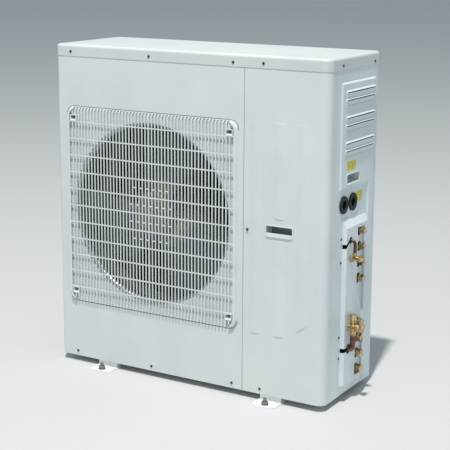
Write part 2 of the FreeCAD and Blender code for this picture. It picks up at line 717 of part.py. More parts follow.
def rod(stem, start, axis, length, diameter):
    """A cylinder from its start along an axis."""
    cylinder = doc.addObject("Part::Cylinder", new_name(stem))
    cylinder.Placement = Placement(Vector(), TURNS[axis])
    cylinder.setExpression("Radius", tied(f"({diameter}) / 2"))
    cylinder.setExpression("Height", tied(length))
    place_at(cylinder, *start)
    return cylinder


def hexagon(stem, start, axis, length, across_corners):
    """A hexagonal prism from its start along an axis."""
    prism = doc.addObject("Part::Prism", new_name(stem))
    prism.Polygon = 6
    prism.Placement = Placement(Vector(), TURNS[axis])
    prism.setExpression("Circumradius", tied(f"({across_corners}) / 2"))
    prism.setExpression("Height", tied(length))
    place_at(prism, *start)
    return prism


def fuse(stem, *things):
    joined = doc.addObject("Part::MultiFuse", new_name(stem))
    joined.Shapes = list(things)
    joined.Refine = False
    return joined


def cut(stem, base, *tools):
    """The base without its tools."""
    tool = tools[0] if len(tools) == 1 else fuse(stem + "_tools", *tools)
    left_over = doc.addObject("Part::Cut", new_name(stem))
    left_over.Base = base
    left_over.Tool = tool
    left_over.Refine = False
    return left_over


def gather(stem, *things):
    """Separate solids that share one sub-part."""
    group = doc.addObject("Part::Compound", new_name(stem))
    group.Links = list(things)
    return group


def bent_tube(node, points, diameter, bend):
    """A tube along straight runs that are joined by arcs of one bend radius."""
    spots = [Vector(*[value(text) for text in point]) for point in points]
    radius = value(bend)
    edges = []
    here = spots[0]
    for before, corner, after in zip(spots, spots[1:], spots[2:]):
        arriving = (corner - before).normalize()
        leaving = (after - corner).normalize()
        turn = arriving.getAngle(leaving)
        back = radius * math.tan(turn / 2)
        start = corner - arriving * back
        stop = corner + leaving * back
        towards = (leaving - arriving).normalize()
        centre = corner + towards * (radius / math.cos(turn / 2))
        middle = centre - towards * radius
        edges.append(Part.LineSegment(here, start).toShape())
        edges.append(Part.Arc(start, middle, stop).toShape())
        here = stop
    edges.append(Part.LineSegment(here, spots[-1]).toShape())
    path = Part.Wire(edges)
    first = (spots[1] - spots[0]).normalize()
    ring = Part.Wire(Part.Circle(spots[0], first, value(diameter) / 2).toShape())
    tube = doc.addObject("Part::Feature", node)
    tube.Shape = path.makePipeShell([ring], True, False)
    return tube


# Casing

def base_pan():
    """A pressed tray with an upstanding rim, a drain hole and a raised compressor seat."""
    body = new_body("base_pan")
    pad(body, "XY", "base", "pan_flange",
        [rectangle("pan_left", "pan_front", "pan_right", "pan_rear")])
    inner = ("pan_left + pan_gauge", "pan_front + pan_gauge", "pan_right - pan_gauge",
             "pan_rear - pan_gauge")
    pocket(body, "XY", "pan_floor", "pan_flange - pan_gauge", [rectangle(*inner)])
    inset = "sheet_gauge - fit_gap"
    round_bend(body, f"front_corner - {inset}", "pan_gauge", ("pan_right", "pan_front"),
               (inner[2], inner[1]))
    round_bend(body, f"left_corner - {inset}", "pan_gauge", ("pan_left", "pan_front"),
               (inner[0], inner[1]))
    round_bend(body, f"rear_corner - {inset}", "pan_gauge", ("pan_right", "pan_rear"),
               (inner[2], inner[3]))
    round_bend(body, f"left_corner - {inset}", "pan_gauge", ("pan_left", "pan_rear"),
               (inner[0], inner[3]))
    pad(body, "XY", "pan_floor", "seat_height",
        circles=[("compressor_x", "compressor_y", "seat_diameter")])
    pocket(body, "XY", "base", "pan_gauge",
           circles=[("left + drain_from_left", "front + drain_from_front", "drain_diameter")])
    return body


def foot_rail(node, side):
    """A strap with a slotted nose at each end, and a closed channel that carries the pan."""
    centre = f"{side} * foot_pitch_across / 2"
    body = new_body(node)
    nose = "(foot_pitch_deep / 2 + foot_reach)"
    shoulder = "(foot_pitch_deep / 2 + foot_reach - (foot_wide - foot_nose) / 2)"
    strap = [(f"{centre} - foot_nose / 2", f"-1 * {nose}"),
             (f"{centre} + foot_nose / 2", f"-1 * {nose}"),
             (f"{centre} + foot_wide / 2", f"-1 * {shoulder}"),
             (f"{centre} + foot_wide / 2", shoulder),
             (f"{centre} + foot_nose / 2", nose),
             (f"{centre} - foot_nose / 2", nose),
             (f"{centre} - foot_wide / 2", shoulder),
             (f"{centre} - foot_wide / 2", f"-1 * {shoulder}")]
    pad(body, "XY", "0", "foot_gauge", [strap])
    pad(body, "XY", "foot_gauge", "foot_height - foot_gauge",
        [rectangle(f"{centre} - rail_width / 2", "front + rail_setback",
                   f"{centre} + rail_width / 2", "rear - rail_setback")])
    pocket(body, "XY", "0", "foot_height - foot_gauge",
           [rectangle(f"{centre} - rail_width / 2 + foot_gauge", "front + rail_block",
                      f"{centre} + rail_width / 2 - foot_gauge", "rear - rail_block")])
    pocket(body, "XY", "0", "foot_gauge",
           slots=[(centre, "foot_pitch_deep / 2", "slot_length", "slot_width"),
                  (centre, "-1 * foot_pitch_deep / 2", "slot_length", "slot_width")])
    return body


def front_panel():
    """The left front sheet, folded round the left corner, with the fan's round opening. Its seam
    flange stops above the rim of the pan."""
    body = new_body("front_panel")
    edge = "seam - fit_gap / 2"
    outline = [("left", "front + left_return"), ("left", "front"), (edge, "front"),
               (edge, "front + seam_flange"), (f"{edge} - sheet_gauge", "front + seam_flange"),
               (f"{edge} - sheet_gauge", "inner_front"), ("inner_left", "inner_front"),
               ("inner_left", "front + left_return")]
    pad(body, "XY", "base", "sheet_top - base", [outline])
    round_bend(body, "left_corner", "sheet_gauge", ("left", "front"),
               ("inner_left", "inner_front"))
    pocket(body, "XZ", "front", "sheet_gauge",
           circles=[("fan_x", "fan_z", "opening_diameter")])
    pocket(body, "XY", "base", "pan_flange + fit_gap",
           [rectangle(f"{edge} - sheet_gauge", "inner_front", edge, "front + seam_flange")])
    return body


def bell_mouth():
    """The drawn orifice ring behind the opening: a flange, a rounded lip and a long throat."""
    body = new_body("bell_mouth")
    sketch = new_sketch(body, "YZ", "fan_x")
    start = "inner_front + fit_gap"
    throat = "fan_z + throat_diameter / 2"
    rim = "fan_z + opening_diameter / 2 + mouth_flange"
    draw_outline(sketch, [(start, rim), (start, throat), (f"{start} + mouth_depth", throat),
                          (f"{start} + mouth_depth", f"{throat} + mouth_gauge"),
                          (f"{start} + mouth_gauge", f"{throat} + mouth_gauge"),
                          (f"{start} + mouth_gauge", rim)])
    axis = sketch.addGeometry(
        Part.LineSegment(Vector(-50, value("fan_z"), 0), Vector(50, value("fan_z"), 0)), True)
    tie_point(sketch, axis, 1, "-50", "fan_z")
    tie_point(sketch, axis, 2, "50", "fan_z")
    ring = body.newObject("PartDesign::Revolution", "bell_mouth_turned")
    ring.Profile = sketch
    ring.ReferenceAxis = (sketch, ["Axis0"])
    ring.Angle = 360
    ring.Refine = False
    doc.recompute()
    round_edges(body, "mouth_flare", ring_at(start, "throat_diameter"))
    round_edges(body, "mouth_flare - mouth_gauge",
                ring_at(f"{start} + mouth_gauge", "throat_diameter + 2 * mouth_gauge"))
    return body


def fan_grille():
    """One moulding: a sloping frame, upright bars that fold back over its top and bottom, cross
    bars behind them, a denser centre and four screw bosses."""
    body = loose_body("grille_frame")
    centre = ("fan_x", "fan_z")
    foot = "front - fit_gap"
    loft(body, "XZ", foot, (*centre, "grille_width", "grille_height", "grille_corner"),
         "grille_front", (*centre, "face_width", "face_height", "grille_corner"))
    wall = "2 * grille_gauge"
    loft(body, "XZ", foot,
         (*centre, f"grille_width - {wall}", f"grille_height - {wall}",
          "grille_corner - grille_gauge"),
         "grille_front + grille_gauge",
         (*centre, f"face_width - {wall}", f"face_height - {wall}",
          "grille_corner - grille_gauge"), cutting=True)
    pocket(body, "XZ", "grille_front", "grille_stand - fit_gap - grille_rim",
           [around(*centre, "slot_field", "grille_height")])
    profile = [(foot, "fan_z + grille_height / 2"),
               ("grille_front", "fan_z + face_height / 2"),
               ("grille_front", "fan_z - face_height / 2"),
               (foot, "fan_z - grille_height / 2"),
               (foot, "fan_z - grille_height / 2 + grille_gauge"),
               ("grille_front + bar_depth", "fan_z - face_height / 2 + grille_gauge"),
               ("grille_front + bar_depth", "fan_z + face_height / 2 - grille_gauge"),
               (foot, "fan_z + grille_height / 2 - grille_gauge")]
    bars = loose_body("grille_bars")
    bar = pad(bars, "YZ", "fan_x - slot_field / 2 + slot_pitch - bar_width", "bar_width",
              [profile])
    repeat(bars, bar, "X_Axis", "slot_pitch * (slot_count - 2)", "slot_count - 1")
    pad(bars, "YZ", "fan_x - middle_bar_width / 2", "middle_bar_width", [profile])
    rows = loose_body("grille_rows")
    row = pad(rows, "XZ", "grille_front + bar_depth", "row_depth",
              [around("fan_x", "fan_z - row_pitch * (row_count - 1) / 2",
                      "face_width + row_depth - grille_gauge", "row_width")])
    repeat(rows, row, "Z_Axis", "row_pitch * (row_count - 1)", "row_count")
    bosses = []
    for side in (-1, 1):
        for tier in (-1, 1):
            across = f"fan_x + {side} * (grille_width / 2 - boss_from_edge)"
            up = f"fan_z + {tier} * (grille_height / 2 - boss_from_rim)"
            bosses.append((across, up))
    cups = loose_body("grille_bosses")
    pad(cups, "XZ", "grille_front", "grille_stand - fit_gap",
        [around(*boss, "grille_boss", "grille_boss") for boss in bosses])
    return keep(fuse("fan_grille", body, bars, rows, cups), "fan_grille")


def service_panel():
    """The right front sheet with the large corner, three embossed ribs and a grip opening."""
    body = new_body("service_panel")
    edge = "seam + fit_gap / 2"
    outline = [(edge, "front"), ("right", "front"), ("right", "side_seam_y - fit_gap"),
               ("inner_right", "side_seam_y - fit_gap"), ("inner_right", "inner_front"),
               (f"{edge} + sheet_gauge", "inner_front"),
               (f"{edge} + sheet_gauge", "front + seam_flange"), (edge, "front + seam_flange")]
    pad(body, "XY", "base", "sheet_top - base", [outline])
    round_bend(body, "front_corner", "sheet_gauge", ("right", "front"),
               ("inner_right", "inner_front"))
    for number in range(3):
        place = f"left + first_rib_from_left + {number} * rib_pitch"
        spans = [("rib_low", "rib_high")]
        if number == 1:
            spans = [("rib_low", "rib_break_low"), ("rib_break_high", "rib_high")]
        if number == 2:
            spans = [("rib_slant_low", "rib_high")]
        for low, high in spans:
            pad(body, "XY", f"base + {low}", f"{high} - {low}",
                lenses=[(place, "front", "rib_width", "rib_rise")])
        if number == 2:
            pocket(body, "XZ", "front - rib_rise", "rib_rise",
                   [[(f"{place} - rib_width / 2", "base + rib_slant_low"),
                     (f"{place} + rib_width / 2", "base + rib_slant_low"),
                     (f"{place} + rib_width / 2", "base + rib_slant_high")]])
            spans = [("rib_slant_high", "rib_high")]
        for low, high in spans:
            pocket(body, "XY", f"base + {low} + sheet_gauge", f"{high} - {low} - 2 * sheet_gauge",
                   lenses=[(place, "inner_front", "rib_width", "rib_rise")])
    pocket(body, "XZ", "front", "sheet_gauge",
           rounds=[("front_grip_x", "front_grip_z", "front_grip_width", "front_grip_height",
                    "grip_corner")])
    pocket(body, "XY", "base", "pan_flange + fit_gap",
           [rectangle(edge, "inner_front", f"{edge} + sheet_gauge", "front + seam_flange")])
    return body


def grip(node, plane, face, across, up, width, height, inward):
    """A moulded hand recess: a cup behind a flange, with a lip that stands out below."""
    body = new_body(node)
    shell = (across, up, f"{width} - 2 * fit_gap", f"{height} - 2 * fit_gap", "grip_corner")
    hollow = (f"{width} - 2 * fit_gap - 2 * grip_wall", f"{height} - 2 * fit_gap - 2 * grip_wall")
    behind = f"{face} + {inward} * (sheet_gauge + fit_gap)"
    bottom = f"{face} + {inward} * grip_depth"

    def level(near, far):
        """The lower of two levels along the plane's axis."""
        return near if inward > 0 else far

    pad(body, plane, level(face, bottom), "grip_depth", rounds=[shell])
    pad(body, plane, level(behind, f"{behind} - grip_wall"), "grip_wall",
        rounds=[(across, up, f"{width} + 2 * grip_lip", f"{height} + 2 * grip_lip",
                 "grip_corner + grip_lip")])
    floor = f"{up} + grip_scoop / 2"
    loft(body, plane, face, (across, up, *hollow, "grip_corner - grip_wall"),
         f"{bottom} - {inward} * grip_wall",
         (across, floor, hollow[0], f"{hollow[1]} - grip_scoop", "grip_corner - grip_wall"),
         cutting=True)
    low = f"{up} - {height} / 2 + fit_gap"
    pad(body, plane, level(f"{face} - {inward} * grip_proud", f"{face} + {inward} * grip_wall"),
        "grip_proud + grip_wall",
        [rectangle(f"{across} - {width} / 2 + grip_corner", low,
                   f"{across} + {width} / 2 - grip_corner", f"{low} + 2 * grip_wall")])
    return body


def side_panel():
    """The right wall, folded round the rear corner: a stiffening pressing that carries the
    louvres and the side grip, and openings for the valve plate and the cables."""
    body = new_body("side_panel")
    outline = [("right", "side_seam_y"), ("right", "rear"), ("rear_seam_x", "rear"),
               ("rear_seam_x", "inner_rear"), ("inner_right", "inner_rear"),
               ("inner_right", "side_seam_y")]
    pad(body, "XY", "base", "sheet_top - base", [outline])
    round_bend(body, "rear_corner", "sheet_gauge", ("right", "rear"),
               ("inner_right", "inner_rear"))

    def pressing(inset):
        """The pressing's outline: the louvred field and the leg behind the valve plate."""
        near = f"front + emboss_from_front + {inset}"
        leg = f"front + emboss_leg + {inset}"
        end = f"front + emboss_end - {inset}"
        top = f"base + emboss_high - {inset}"
        low = f"base + emboss_low + {inset}"
        return [(near, low), (near, top), (end, top), (end, f"base + emboss_foot + {inset}"),
                (leg, f"base + emboss_foot + {inset}"), (leg, low)]

    loft(body, "YZ", "right", pressing("0"), "emboss_face", pressing("emboss_slope"))
    loft(body, "YZ", "inner_right", pressing("sheet_gauge"),
         "emboss_face - sheet_gauge", pressing("emboss_slope + sheet_gauge"), cutting=True)
    hoods = []
    gaps = []
    for group in range(int(value("louvre_groups"))):
        for place in range(2):
            top = f"base + louvre_high - {group} * louvre_group - {place} * louvre_pair"
            low = f"{top} - louvre_drop"
            hoods.append([("emboss_face", top), ("emboss_face + louvre_rise", low),
                          ("emboss_face", low)])
            gaps.append([("emboss_face - sheet_gauge", f"{top} - 2 * sheet_gauge"),
                         ("emboss_face", f"{top} - 2 * sheet_gauge"),
                         ("emboss_face + louvre_rise - sheet_gauge", low),
                         ("emboss_face - sheet_gauge", low)])
    pad(body, "XZ", "front + louvre_from_front", "louvre_length", hoods)
    pocket(body, "XZ", "front + louvre_from_front + sheet_gauge",
           "louvre_length - 2 * sheet_gauge", gaps)
    pocket(body, "YZ", "emboss_face - sheet_gauge", "sheet_gauge",
           rounds=[("side_grip_y", "side_grip_z", "side_grip_width", "side_grip_height",
                    "grip_corner")])
    pocket(body, "YZ", "inner_right", "sheet_gauge",
           [rectangle("plate_hole_front", "plate_hole_low", "plate_hole_rear", "plate_hole_top"),
            rectangle("front + pan_window", "base", "plate_y + plate_wide",
                      "base + pan_flange")],
           circles=[("grommet_y", "grommet_z", "grommet_neck + 2 * fit_gap"),
                    ("grommet_y + grommet_pitch", "grommet_z", "grommet_neck + 2 * fit_gap")])
    return body


def rear_panel():
    """The rear sheet of the compressor side, with a tongue that laps behind the right wall."""
    body = new_body("rear_panel")
    edge = "rear_seam_x - fit_gap"
    pad(body, "XY", "base", "sheet_top - base",
        [rectangle("partition_x", "inner_rear", edge, "rear")])
    behind = "inner_rear - fit_gap"
    tongue = [(f"{edge} - sheet_gauge", "inner_rear"), (edge, "inner_rear"), (edge, behind),
              ("rear_seam_x + seam_lap", behind),
              ("rear_seam_x + seam_lap", f"{behind} - sheet_gauge"),
              (f"{edge} - sheet_gauge", f"{behind} - sheet_gauge")]
    pad(body, "XY", "base + pan_flange + fit_gap", "sheet_top - base - pan_flange - fit_gap",
        [tongue])
    return body


def cable_grommets():
    """Two rubber grommets: a flange outside, a groove for the sheet and a lip inside."""
    parts = []
    for number in range(2):
        middle = f"grommet_y + {number} * grommet_pitch"
        outer = rod("grommet_flange", ("right + fit_gap / 2", middle, "grommet_z"), "X",
                    "grommet_gauge", "grommet_diameter")
        neck = rod("grommet_neck", ("inner_right - fit_gap / 2 - grommet_gauge", middle,
                                    "grommet_z"), "X",
                   "2 * grommet_gauge + sheet_gauge + fit_gap", "grommet_neck")
        lip = rod("grommet_lip", ("inner_right - fit_gap / 2 - grommet_gauge", middle,
                                  "grommet_z"), "X", "grommet_gauge / 2",
                  "(grommet_diameter + grommet_neck) / 2")
        bore = rod("grommet_bore", ("inner_right - 2 * grommet_gauge", middle, "grommet_z"),
                   "X", "5 * grommet_gauge", "grommet_bore")
        parts.append(cut("grommet", fuse("grommet_rings", outer, neck, lip), bore))
    return keep(gather("cable_grommets", *parts), "cable_grommets")


def valve_plate():
    """The pressed plate round the ports and valves: a flange, a raised box with a sloping
    crown, a recessed groove for the flare ports and two keyed tube openings."""
    body = new_body("valve_plate")
    seat = "right + fit_gap"
    skin = "sheet_gauge"
    flange = rectangle("plate_y", "base + plate_low", "plate_y + plate_wide",
                       "base + plate_high")
    pad(body, "YZ", seat, skin, [flange])

    def box(grow, top):
        """The raised box's outline, grown on each side, with its upper end."""
        return rectangle(f"box_y - ({grow})", f"base + plate_low + plate_slope - ({grow})",
                         f"box_y + box_wide + ({grow})", top)

    crown = "base + plate_high - plate_border / 2"
    loft(body, "YZ", seat, box("plate_slope", crown), "plate_face",
         box("0", f"{crown} - plate_crown"))
    loft(body, "YZ", seat, box(f"plate_slope - {skin}", f"{crown} - {skin}"),
         f"plate_face - {skin}", box(f"-1 * {skin}", f"{crown} - plate_crown - {skin}"),
         cutting=True)
    well = rectangle("groove_y", "base + plate_low + plate_slope + groove_end",
                     "groove_y + groove_wide", f"{crown} - plate_crown - groove_end")
    liner = rectangle(f"groove_y - {skin}", f"base + plate_low + plate_slope + groove_end - {skin}",
                      f"groove_y + groove_wide + {skin}",
                      f"{crown} - plate_crown - groove_end + {skin}")
    pad(body, "YZ", f"groove_face - {skin}", f"plate_face - groove_face + {skin}", [liner])
    pocket(body, "YZ", "groove_face", "plate_face - groove_face", [well])
    holes = []
    for first in ("liquid_port_high", "gas_port_high"):
        for number in range(int(value("ports_per_group"))):
            holes.append(("port_y", f"base + {first} - {number} * port_pitch", "port_hole"))
    pocket(body, "YZ", f"groove_face - {skin}", skin, circles=holes)
    pocket(body, "YZ", f"plate_face - {skin}", skin,
           circles=[("valve_y", "liquid_entry_z", "liquid_entry"),
                    ("valve_y", "gas_entry_z", "gas_entry")])
    half = "entry_slot / 2"
    pocket(body, "YZ", f"{seat} + {skin}", f"plate_face - {seat} - {skin}",
           [rectangle("box_y - plate_slope", f"gas_entry_z - {half}", "valve_y",
                      f"gas_entry_z + {half}"),
            [("box_y - plate_slope", f"liquid_entry_z - entry_fall - {half}"),
             ("box_y", f"liquid_entry_z - entry_fall - {half}"),
             (f"valve_y + {half}", f"liquid_entry_z"),
             (f"valve_y - {half}", f"liquid_entry_z + {half} / 2"),
             ("box_y", f"liquid_entry_z - entry_fall + {half}"),
             ("box_y - plate_slope", f"liquid_entry_z - entry_fall + {half}")]])
    return body


def tube_sleeves():
    """Rubber sleeves that close the plate's openings round the two tubes."""
    sleeves = []
    for level, hole, tube in (("liquid_entry_z", "liquid_entry", "liquid_tube"),
                              ("gas_entry_z", "gas_entry", "gas_tube")):
        start = ("plate_face - sleeve_length", "valve_y", level)
        ring = rod("sleeve_ring", start, "X", "sleeve_length", f"{hole} - 2 * fit_gap")
        bore = rod("sleeve_bore", start, "X", "sleeve_length", f"{tube} + fit_gap")
        sleeves.append(cut("sleeve", ring, bore))
    return keep(gather("tube_sleeves", *sleeves), "tube_sleeves")


def top_cover():
    """The roof: a drawn tray turned upside down over the walls, with a rounded upper edge."""
    body = new_body("top_cover")
    over = "(cover_gauge + fit_gap)"
    sides = (f"left - {over}", f"front - {over}", f"right + {over}", f"rear + {over}")
    pad(body, "XY", "roof - cover_skirt", "cover_skirt", [rectangle(*sides)])
    corners = [("front_corner", 2, 1), ("left_corner", 0, 1), ("left_corner", 0, 3),
               ("rear_corner", 2, 3)]
    inner = ("left - fit_gap", "front - fit_gap", "right + fit_gap", "rear + fit_gap")
    pocket(body, "XY", "roof - cover_skirt", "cover_skirt - cover_gauge", [rectangle(*inner)])
    for radius, across, deep in corners:
        round_bend(body, f"{radius} + {over}", "cover_gauge", (sides[across], sides[deep]),
                   (inner[across], inner[deep]))
    round_edges(body, "cover_round - cover_gauge", flat_at("roof - cover_gauge"))
    round_edges(body, "cover_round", flat_at("roof"))
    return body


def corner_post():
    """The folded post at the rear left corner."""
    body = new_body("corner_post")
    outline = [("left", "rear"), ("left", "rear - post_leg"), ("inner_left", "rear - post_leg"),
               ("inner_left", "inner_rear"), ("left + post_leg", "inner_rear"),
               ("left + post_leg", "rear")]
    pad(body, "XY", "base", "sheet_top - base", [outline])
    round_bend(body, "left_corner", "sheet_gauge", ("left", "rear"),
               ("inner_left", "inner_rear"))
    return body


def coil_guard():
    """Welded wire mesh over the open left side and rear: upright wires outside, level wires
    inside, their ends lapped behind the sheets."""
    wires = []
    lap = "guard_lap"
    low = f"base + pan_flange - {lap}"
    height = f"cabinet_height - cover_skirt - pan_flange + 2 * {lap}"
    left_run = (f"front + left_return - {lap}", f"rear - {lap} - 2 * guard_wire")
    rear_run = (f"left + {lap} + 2 * guard_wire", f"partition_x + {lap}")
    behind_rim = "pan_gauge + 2 * fit_gap"
    layers = [(f"inner_left + {behind_rim}", 1), (f"inner_rear - ({behind_rim})", -1)]
    spans = [left_run, rear_run]
    rows = int(value(height) // value("guard_pitch"))
    for side, ((layer, inward), (start, stop)) in enumerate(zip(layers, spans)):
        outer = layer if inward > 0 else f"{layer} - guard_wire"
        inner = f"{layer} + guard_wire" if inward > 0 else f"{layer} - 2 * guard_wire"
        columns = int((value(stop) - value(start)) // value("guard_pitch"))
        for number in range(columns + 1):
            along = f"{start} + {number} * ({stop} - ({start}) - guard_wire) / {columns}"
            spot = (outer, along, low) if side == 0 else (along, outer, low)
            wires.append(block("upright_wire", spot, ("guard_wire", "guard_wire", height)))
        for number in range(rows + 1):
            up = f"{low} + {number} * ({height} - guard_wire) / {rows}"
            length = f"{stop} - ({start})"
            if side == 0:
                wires.append(block("level_wire", (inner, start, up),
                                   ("guard_wire", length, "guard_wire")))
            else:
                wires.append(block("level_wire", (start, inner, up),
                                   (length, "guard_wire", "guard_wire")))
    return keep(gather("coil_guard", *wires), "coil_guard")


# Fan side

def motor_bracket():
    """Two upright rails on the pan, a motor plate between them and a strap over the coil."""
    body = new_body("motor_bracket")
    face = "motor_rear + fit_gap"
    centre = "fan_x"
    rails = []
    for side in (-1, 1):
        middle = f"{centre} + {side} * (bracket_width - bracket_post) / 2"
        rails.append([(f"{middle} - bracket_post / 2", face),
                      (f"{middle} + bracket_post / 2", face),
                      (f"{middle} + bracket_post / 2", f"{face} + bracket_depth"),
                      (f"{middle} + bracket_post / 2 - bracket_gauge", f"{face} + bracket_depth"),
                      (f"{middle} + bracket_post / 2 - bracket_gauge", f"{face} + bracket_gauge"),
                      (f"{middle} - bracket_post / 2 + bracket_gauge", f"{face} + bracket_gauge"),
                      (f"{middle} - bracket_post / 2 + bracket_gauge", f"{face} + bracket_depth"),
                      (f"{middle} - bracket_post / 2", f"{face} + bracket_depth")])
    foot = "pan_floor + fit_gap"
    strap = "coil_top + fit_gap"
    pad(body, "XY", foot, f"{strap} - ({foot})", rails)
    pad(body, "XY", strap, "bracket_gauge",
        [rectangle(f"{centre} - bracket_width / 2", face, f"{centre} + bracket_width / 2",
                   "coil_rear")])
    pad(body, "XY", foot, "bracket_gauge",
        [rectangle(f"{centre} - bracket_width / 2", face, f"{centre} + bracket_width / 2",
                   f"{face} + 2 * bracket_depth")])
    pad(body, "XZ", face, "bracket_gauge",
        [around(centre, "fan_z", "bracket_width", "motor_diameter + bracket_post")])
    return body


def fan_motor():
    """A sealed motor: a ribbed can, a nose with the blind bearing bore and four lugs."""
    body = new_body("fan_motor")
    pad(body, "XZ", "motor_front", "motor_depth", circles=[("fan_x", "fan_z", "motor_diameter")])
    round_edges(body, "motor_round", ring_at("motor_front", "motor_diameter"))
    pad(body, "XZ", "motor_front - motor_nose", "motor_nose",
        circles=[("fan_x", "fan_z", "2.6 * shaft_diameter")])
    lugs = []
    for side in (-1, 1):
        lugs.append(around(f"fan_x + {side} * (bracket_width - bracket_post) / 2", "fan_z",
                           "bracket_post", "motor_diameter + bracket_post"))
    pad(body, "XZ", "motor_rear - motor_lug", "motor_lug", lugs)
    pocket(body, "XZ", "motor_front - motor_nose", "bore_depth",
           circles=[("fan_x", "fan_z", "shaft_diameter + 2 * running_gap")])
    return body


def ring_at(deep, diameter):
    """Picks the round edge of a diameter that lies across the Y axis."""
    y, size = value(deep), value(diameter)

    def wanted(edge):
        box = edge.BoundBox
        return box.YLength < 0.01 and abs(box.YMin - y) < 0.01 and abs(box.XLength - size) < 0.1

    return wanted


def motor_shaft():
    """The shaft from the motor's bearings through the hub to the fan nut."""
    start = ("fan_x", "shaft_tip", "fan_z")
    shaft = rod("shaft", start, "Y",
                "motor_front - motor_nose + bore_depth - fit_gap - shaft_tip", "shaft_diameter")
    return keep(shaft, "motor_shaft")


def blade_section(reach, trailing, leading, front_edge, rear_edge, gauge):
    """A blade's cambered section in the plane at a reach from the axis, leading edge in front."""
    steps = 4
    sides = []
    for lift in (0.0, gauge):
        points = []
        for step in range(steps + 1):
            share = step / steps
            camber = BLADE_CAMBER * (rear_edge - front_edge) * math.sin(math.pi * share)
            deep = rear_edge - gauge - (rear_edge - gauge - front_edge) * share - camber
            points.append(Vector(trailing + (leading - trailing) * share, deep + lift, reach))
        curve = Part.BSplineCurve()
        curve.interpolate(points)
        sides.append(curve)
    front, rear = sides
    return Part.Wire([front.toShape(),
                      Part.makeLine(front.EndPoint, rear.EndPoint),
                      rear.toShape(),
                      Part.makeLine(rear.StartPoint, front.StartPoint)])


# A blade's plan: reach from the axis as a share of the tip radius, then how far the trailing
# and the leading edge lie to either side of the blade's line, as shares of the tip radius
BLADE_PLAN = [(0.17, -0.19, 0.19), (0.45, -0.27, 0.42), (0.75, -0.30, 0.62), (1.02, -0.26, 0.80)]
BLADE_CAMBER = 0.14


def fan():
    """A propeller fan: a hollow hub with a shaft boss, and swept blades that widen outwards."""
    hub_radius = value("hub_diameter") / 2
    tip_radius = value("fan_diameter") / 2
    front_edge, rear_edge = value("hub_front"), value("hub_rear")
    count = int(value("blade_count"))
    room = rear_edge - front_edge
    rim_gap = value("fit_gap")
    tips = Part.makeCylinder(tip_radius, room, Vector(0, front_edge, 0), Vector(0, 1, 0))
    blades = []
    for number in range(count):
        sections = []
        for reach, trailing, leading in BLADE_PLAN:
            sections.append(blade_section(tip_radius * reach, tip_radius * trailing,
                                          tip_radius * leading, front_edge + room / 6,
                                          rear_edge - rim_gap, value("blade_gauge")))
        blade = Part.makeLoft(sections, True, False).common(tips)
        blade.rotate(Vector(), Vector(0, 1, 0), 360 / count * number)
        blade.translate(Vector(value("fan_x"), 0, value("fan_z")))
        blades.append(blade)
    axis = Vector(0, 1, 0)
    centre = Vector(value("fan_x"), front_edge, value("fan_z"))
    wall = value("hub_wall")
    hub = Part.makeCylinder(hub_radius, room, centre, axis)
    rim = [edge for edge in hub.Edges if abs(edge.BoundBox.YMax - front_edge) < 0.01
           and edge.BoundBox.YLength < 0.01]
    hub = hub.makeFillet(4 * wall, rim)
    hollow = Part.makeCylinder(hub_radius - wall, room - wall, centre + axis * 4 * wall, axis)
    boss = Part.makeCylinder(value("shaft_diameter"), room - 4 * wall, centre, axis)
    bore = Part.makeCylinder(value("shaft_diameter") / 2 + value("running_gap"), 2 * room,
                             centre - axis * 10, axis)
    solid = hub.cut(hollow).fuse([boss] + blades).cut(bore)
    wheel = doc.addObject("Part::Feature", "fan")
    wheel.Shape = solid
    return keep(wheel, "fan")


def fan_nut():
    """The nut that clamps the fan on its shaft."""
    start = ("fan_x", "hub_front - fit_gap - nut_depth", "fan_z")
    nut = hexagon("nut", start, "Y", "nut_depth", "nut_across")
    bore = rod("nut_bore", start, "Y", "nut_depth", "shaft_diameter + 2 * running_gap")
    return keep(cut("fan_nut", nut, bore), "fan_nut")


def condenser_coil():
    """The finned coil, bent round the rear left corner, as one block of its true outline."""
    body = new_body("condenser_coil")
    arm = "coil_arm_front"
    outline = [("coil_left", arm), ("coil_left + coil_depth", arm),
               ("coil_left + coil_depth", "coil_front"), ("coil_end_x", "coil_front"),
               ("coil_end_x", "coil_rear"), ("coil_left", "coil_rear")]
    pad(body, "XY", "coil_base", "coil_height", [outline])
    round_edges(body, "coil_bend", upright_at("coil_left", "coil_rear"))
    round_edges(body, "coil_bend - coil_depth",
                upright_at("coil_left + coil_depth", "coil_front"))
    return body


def coil_end_plates():
    """The two tube plates at the coil's ends."""
    margin = "coil_margin"
    side = block("tube_plate", ("coil_left - " + margin,
                                "coil_arm_front - fit_gap - coil_end", "coil_base"),
                 (f"coil_depth + 2 * {margin}", "coil_end", "coil_height"))
    keep(side, "coil_end_plate_left")
    end = block("tube_plate", ("coil_end_x + fit_gap", f"coil_front - {margin}", "coil_base"),
                ("coil_end", f"coil_depth + 2 * {margin}", "coil_height"))
    keep(end, "coil_end_plate_right")


def coil_return_bends():
    """Half rings of tube on the coil's right end."""
    bends = []
    standing = Rotation(Vector(1, 0, 0), 90) * Rotation(Vector(0, 0, 1), -90)
    for number in range(int(value("bend_count"))):
        ring = doc.addObject("Part::Torus", new_name("return_bend"))
        ring.Placement = Placement(Vector(), standing)
        ring.setExpression("Radius1", tied("bend_span / 2"))
        ring.setExpression("Radius2", tied("tube_diameter / 2"))
        ring.Angle3 = 180
        place_at(ring, "bend_x", "bend_y", f"coil_base + bend_pitch * ({number} + 0.7)")
        bends.append(ring)
    return keep(gather("coil_return_bends", *bends), "coil_return_bends")


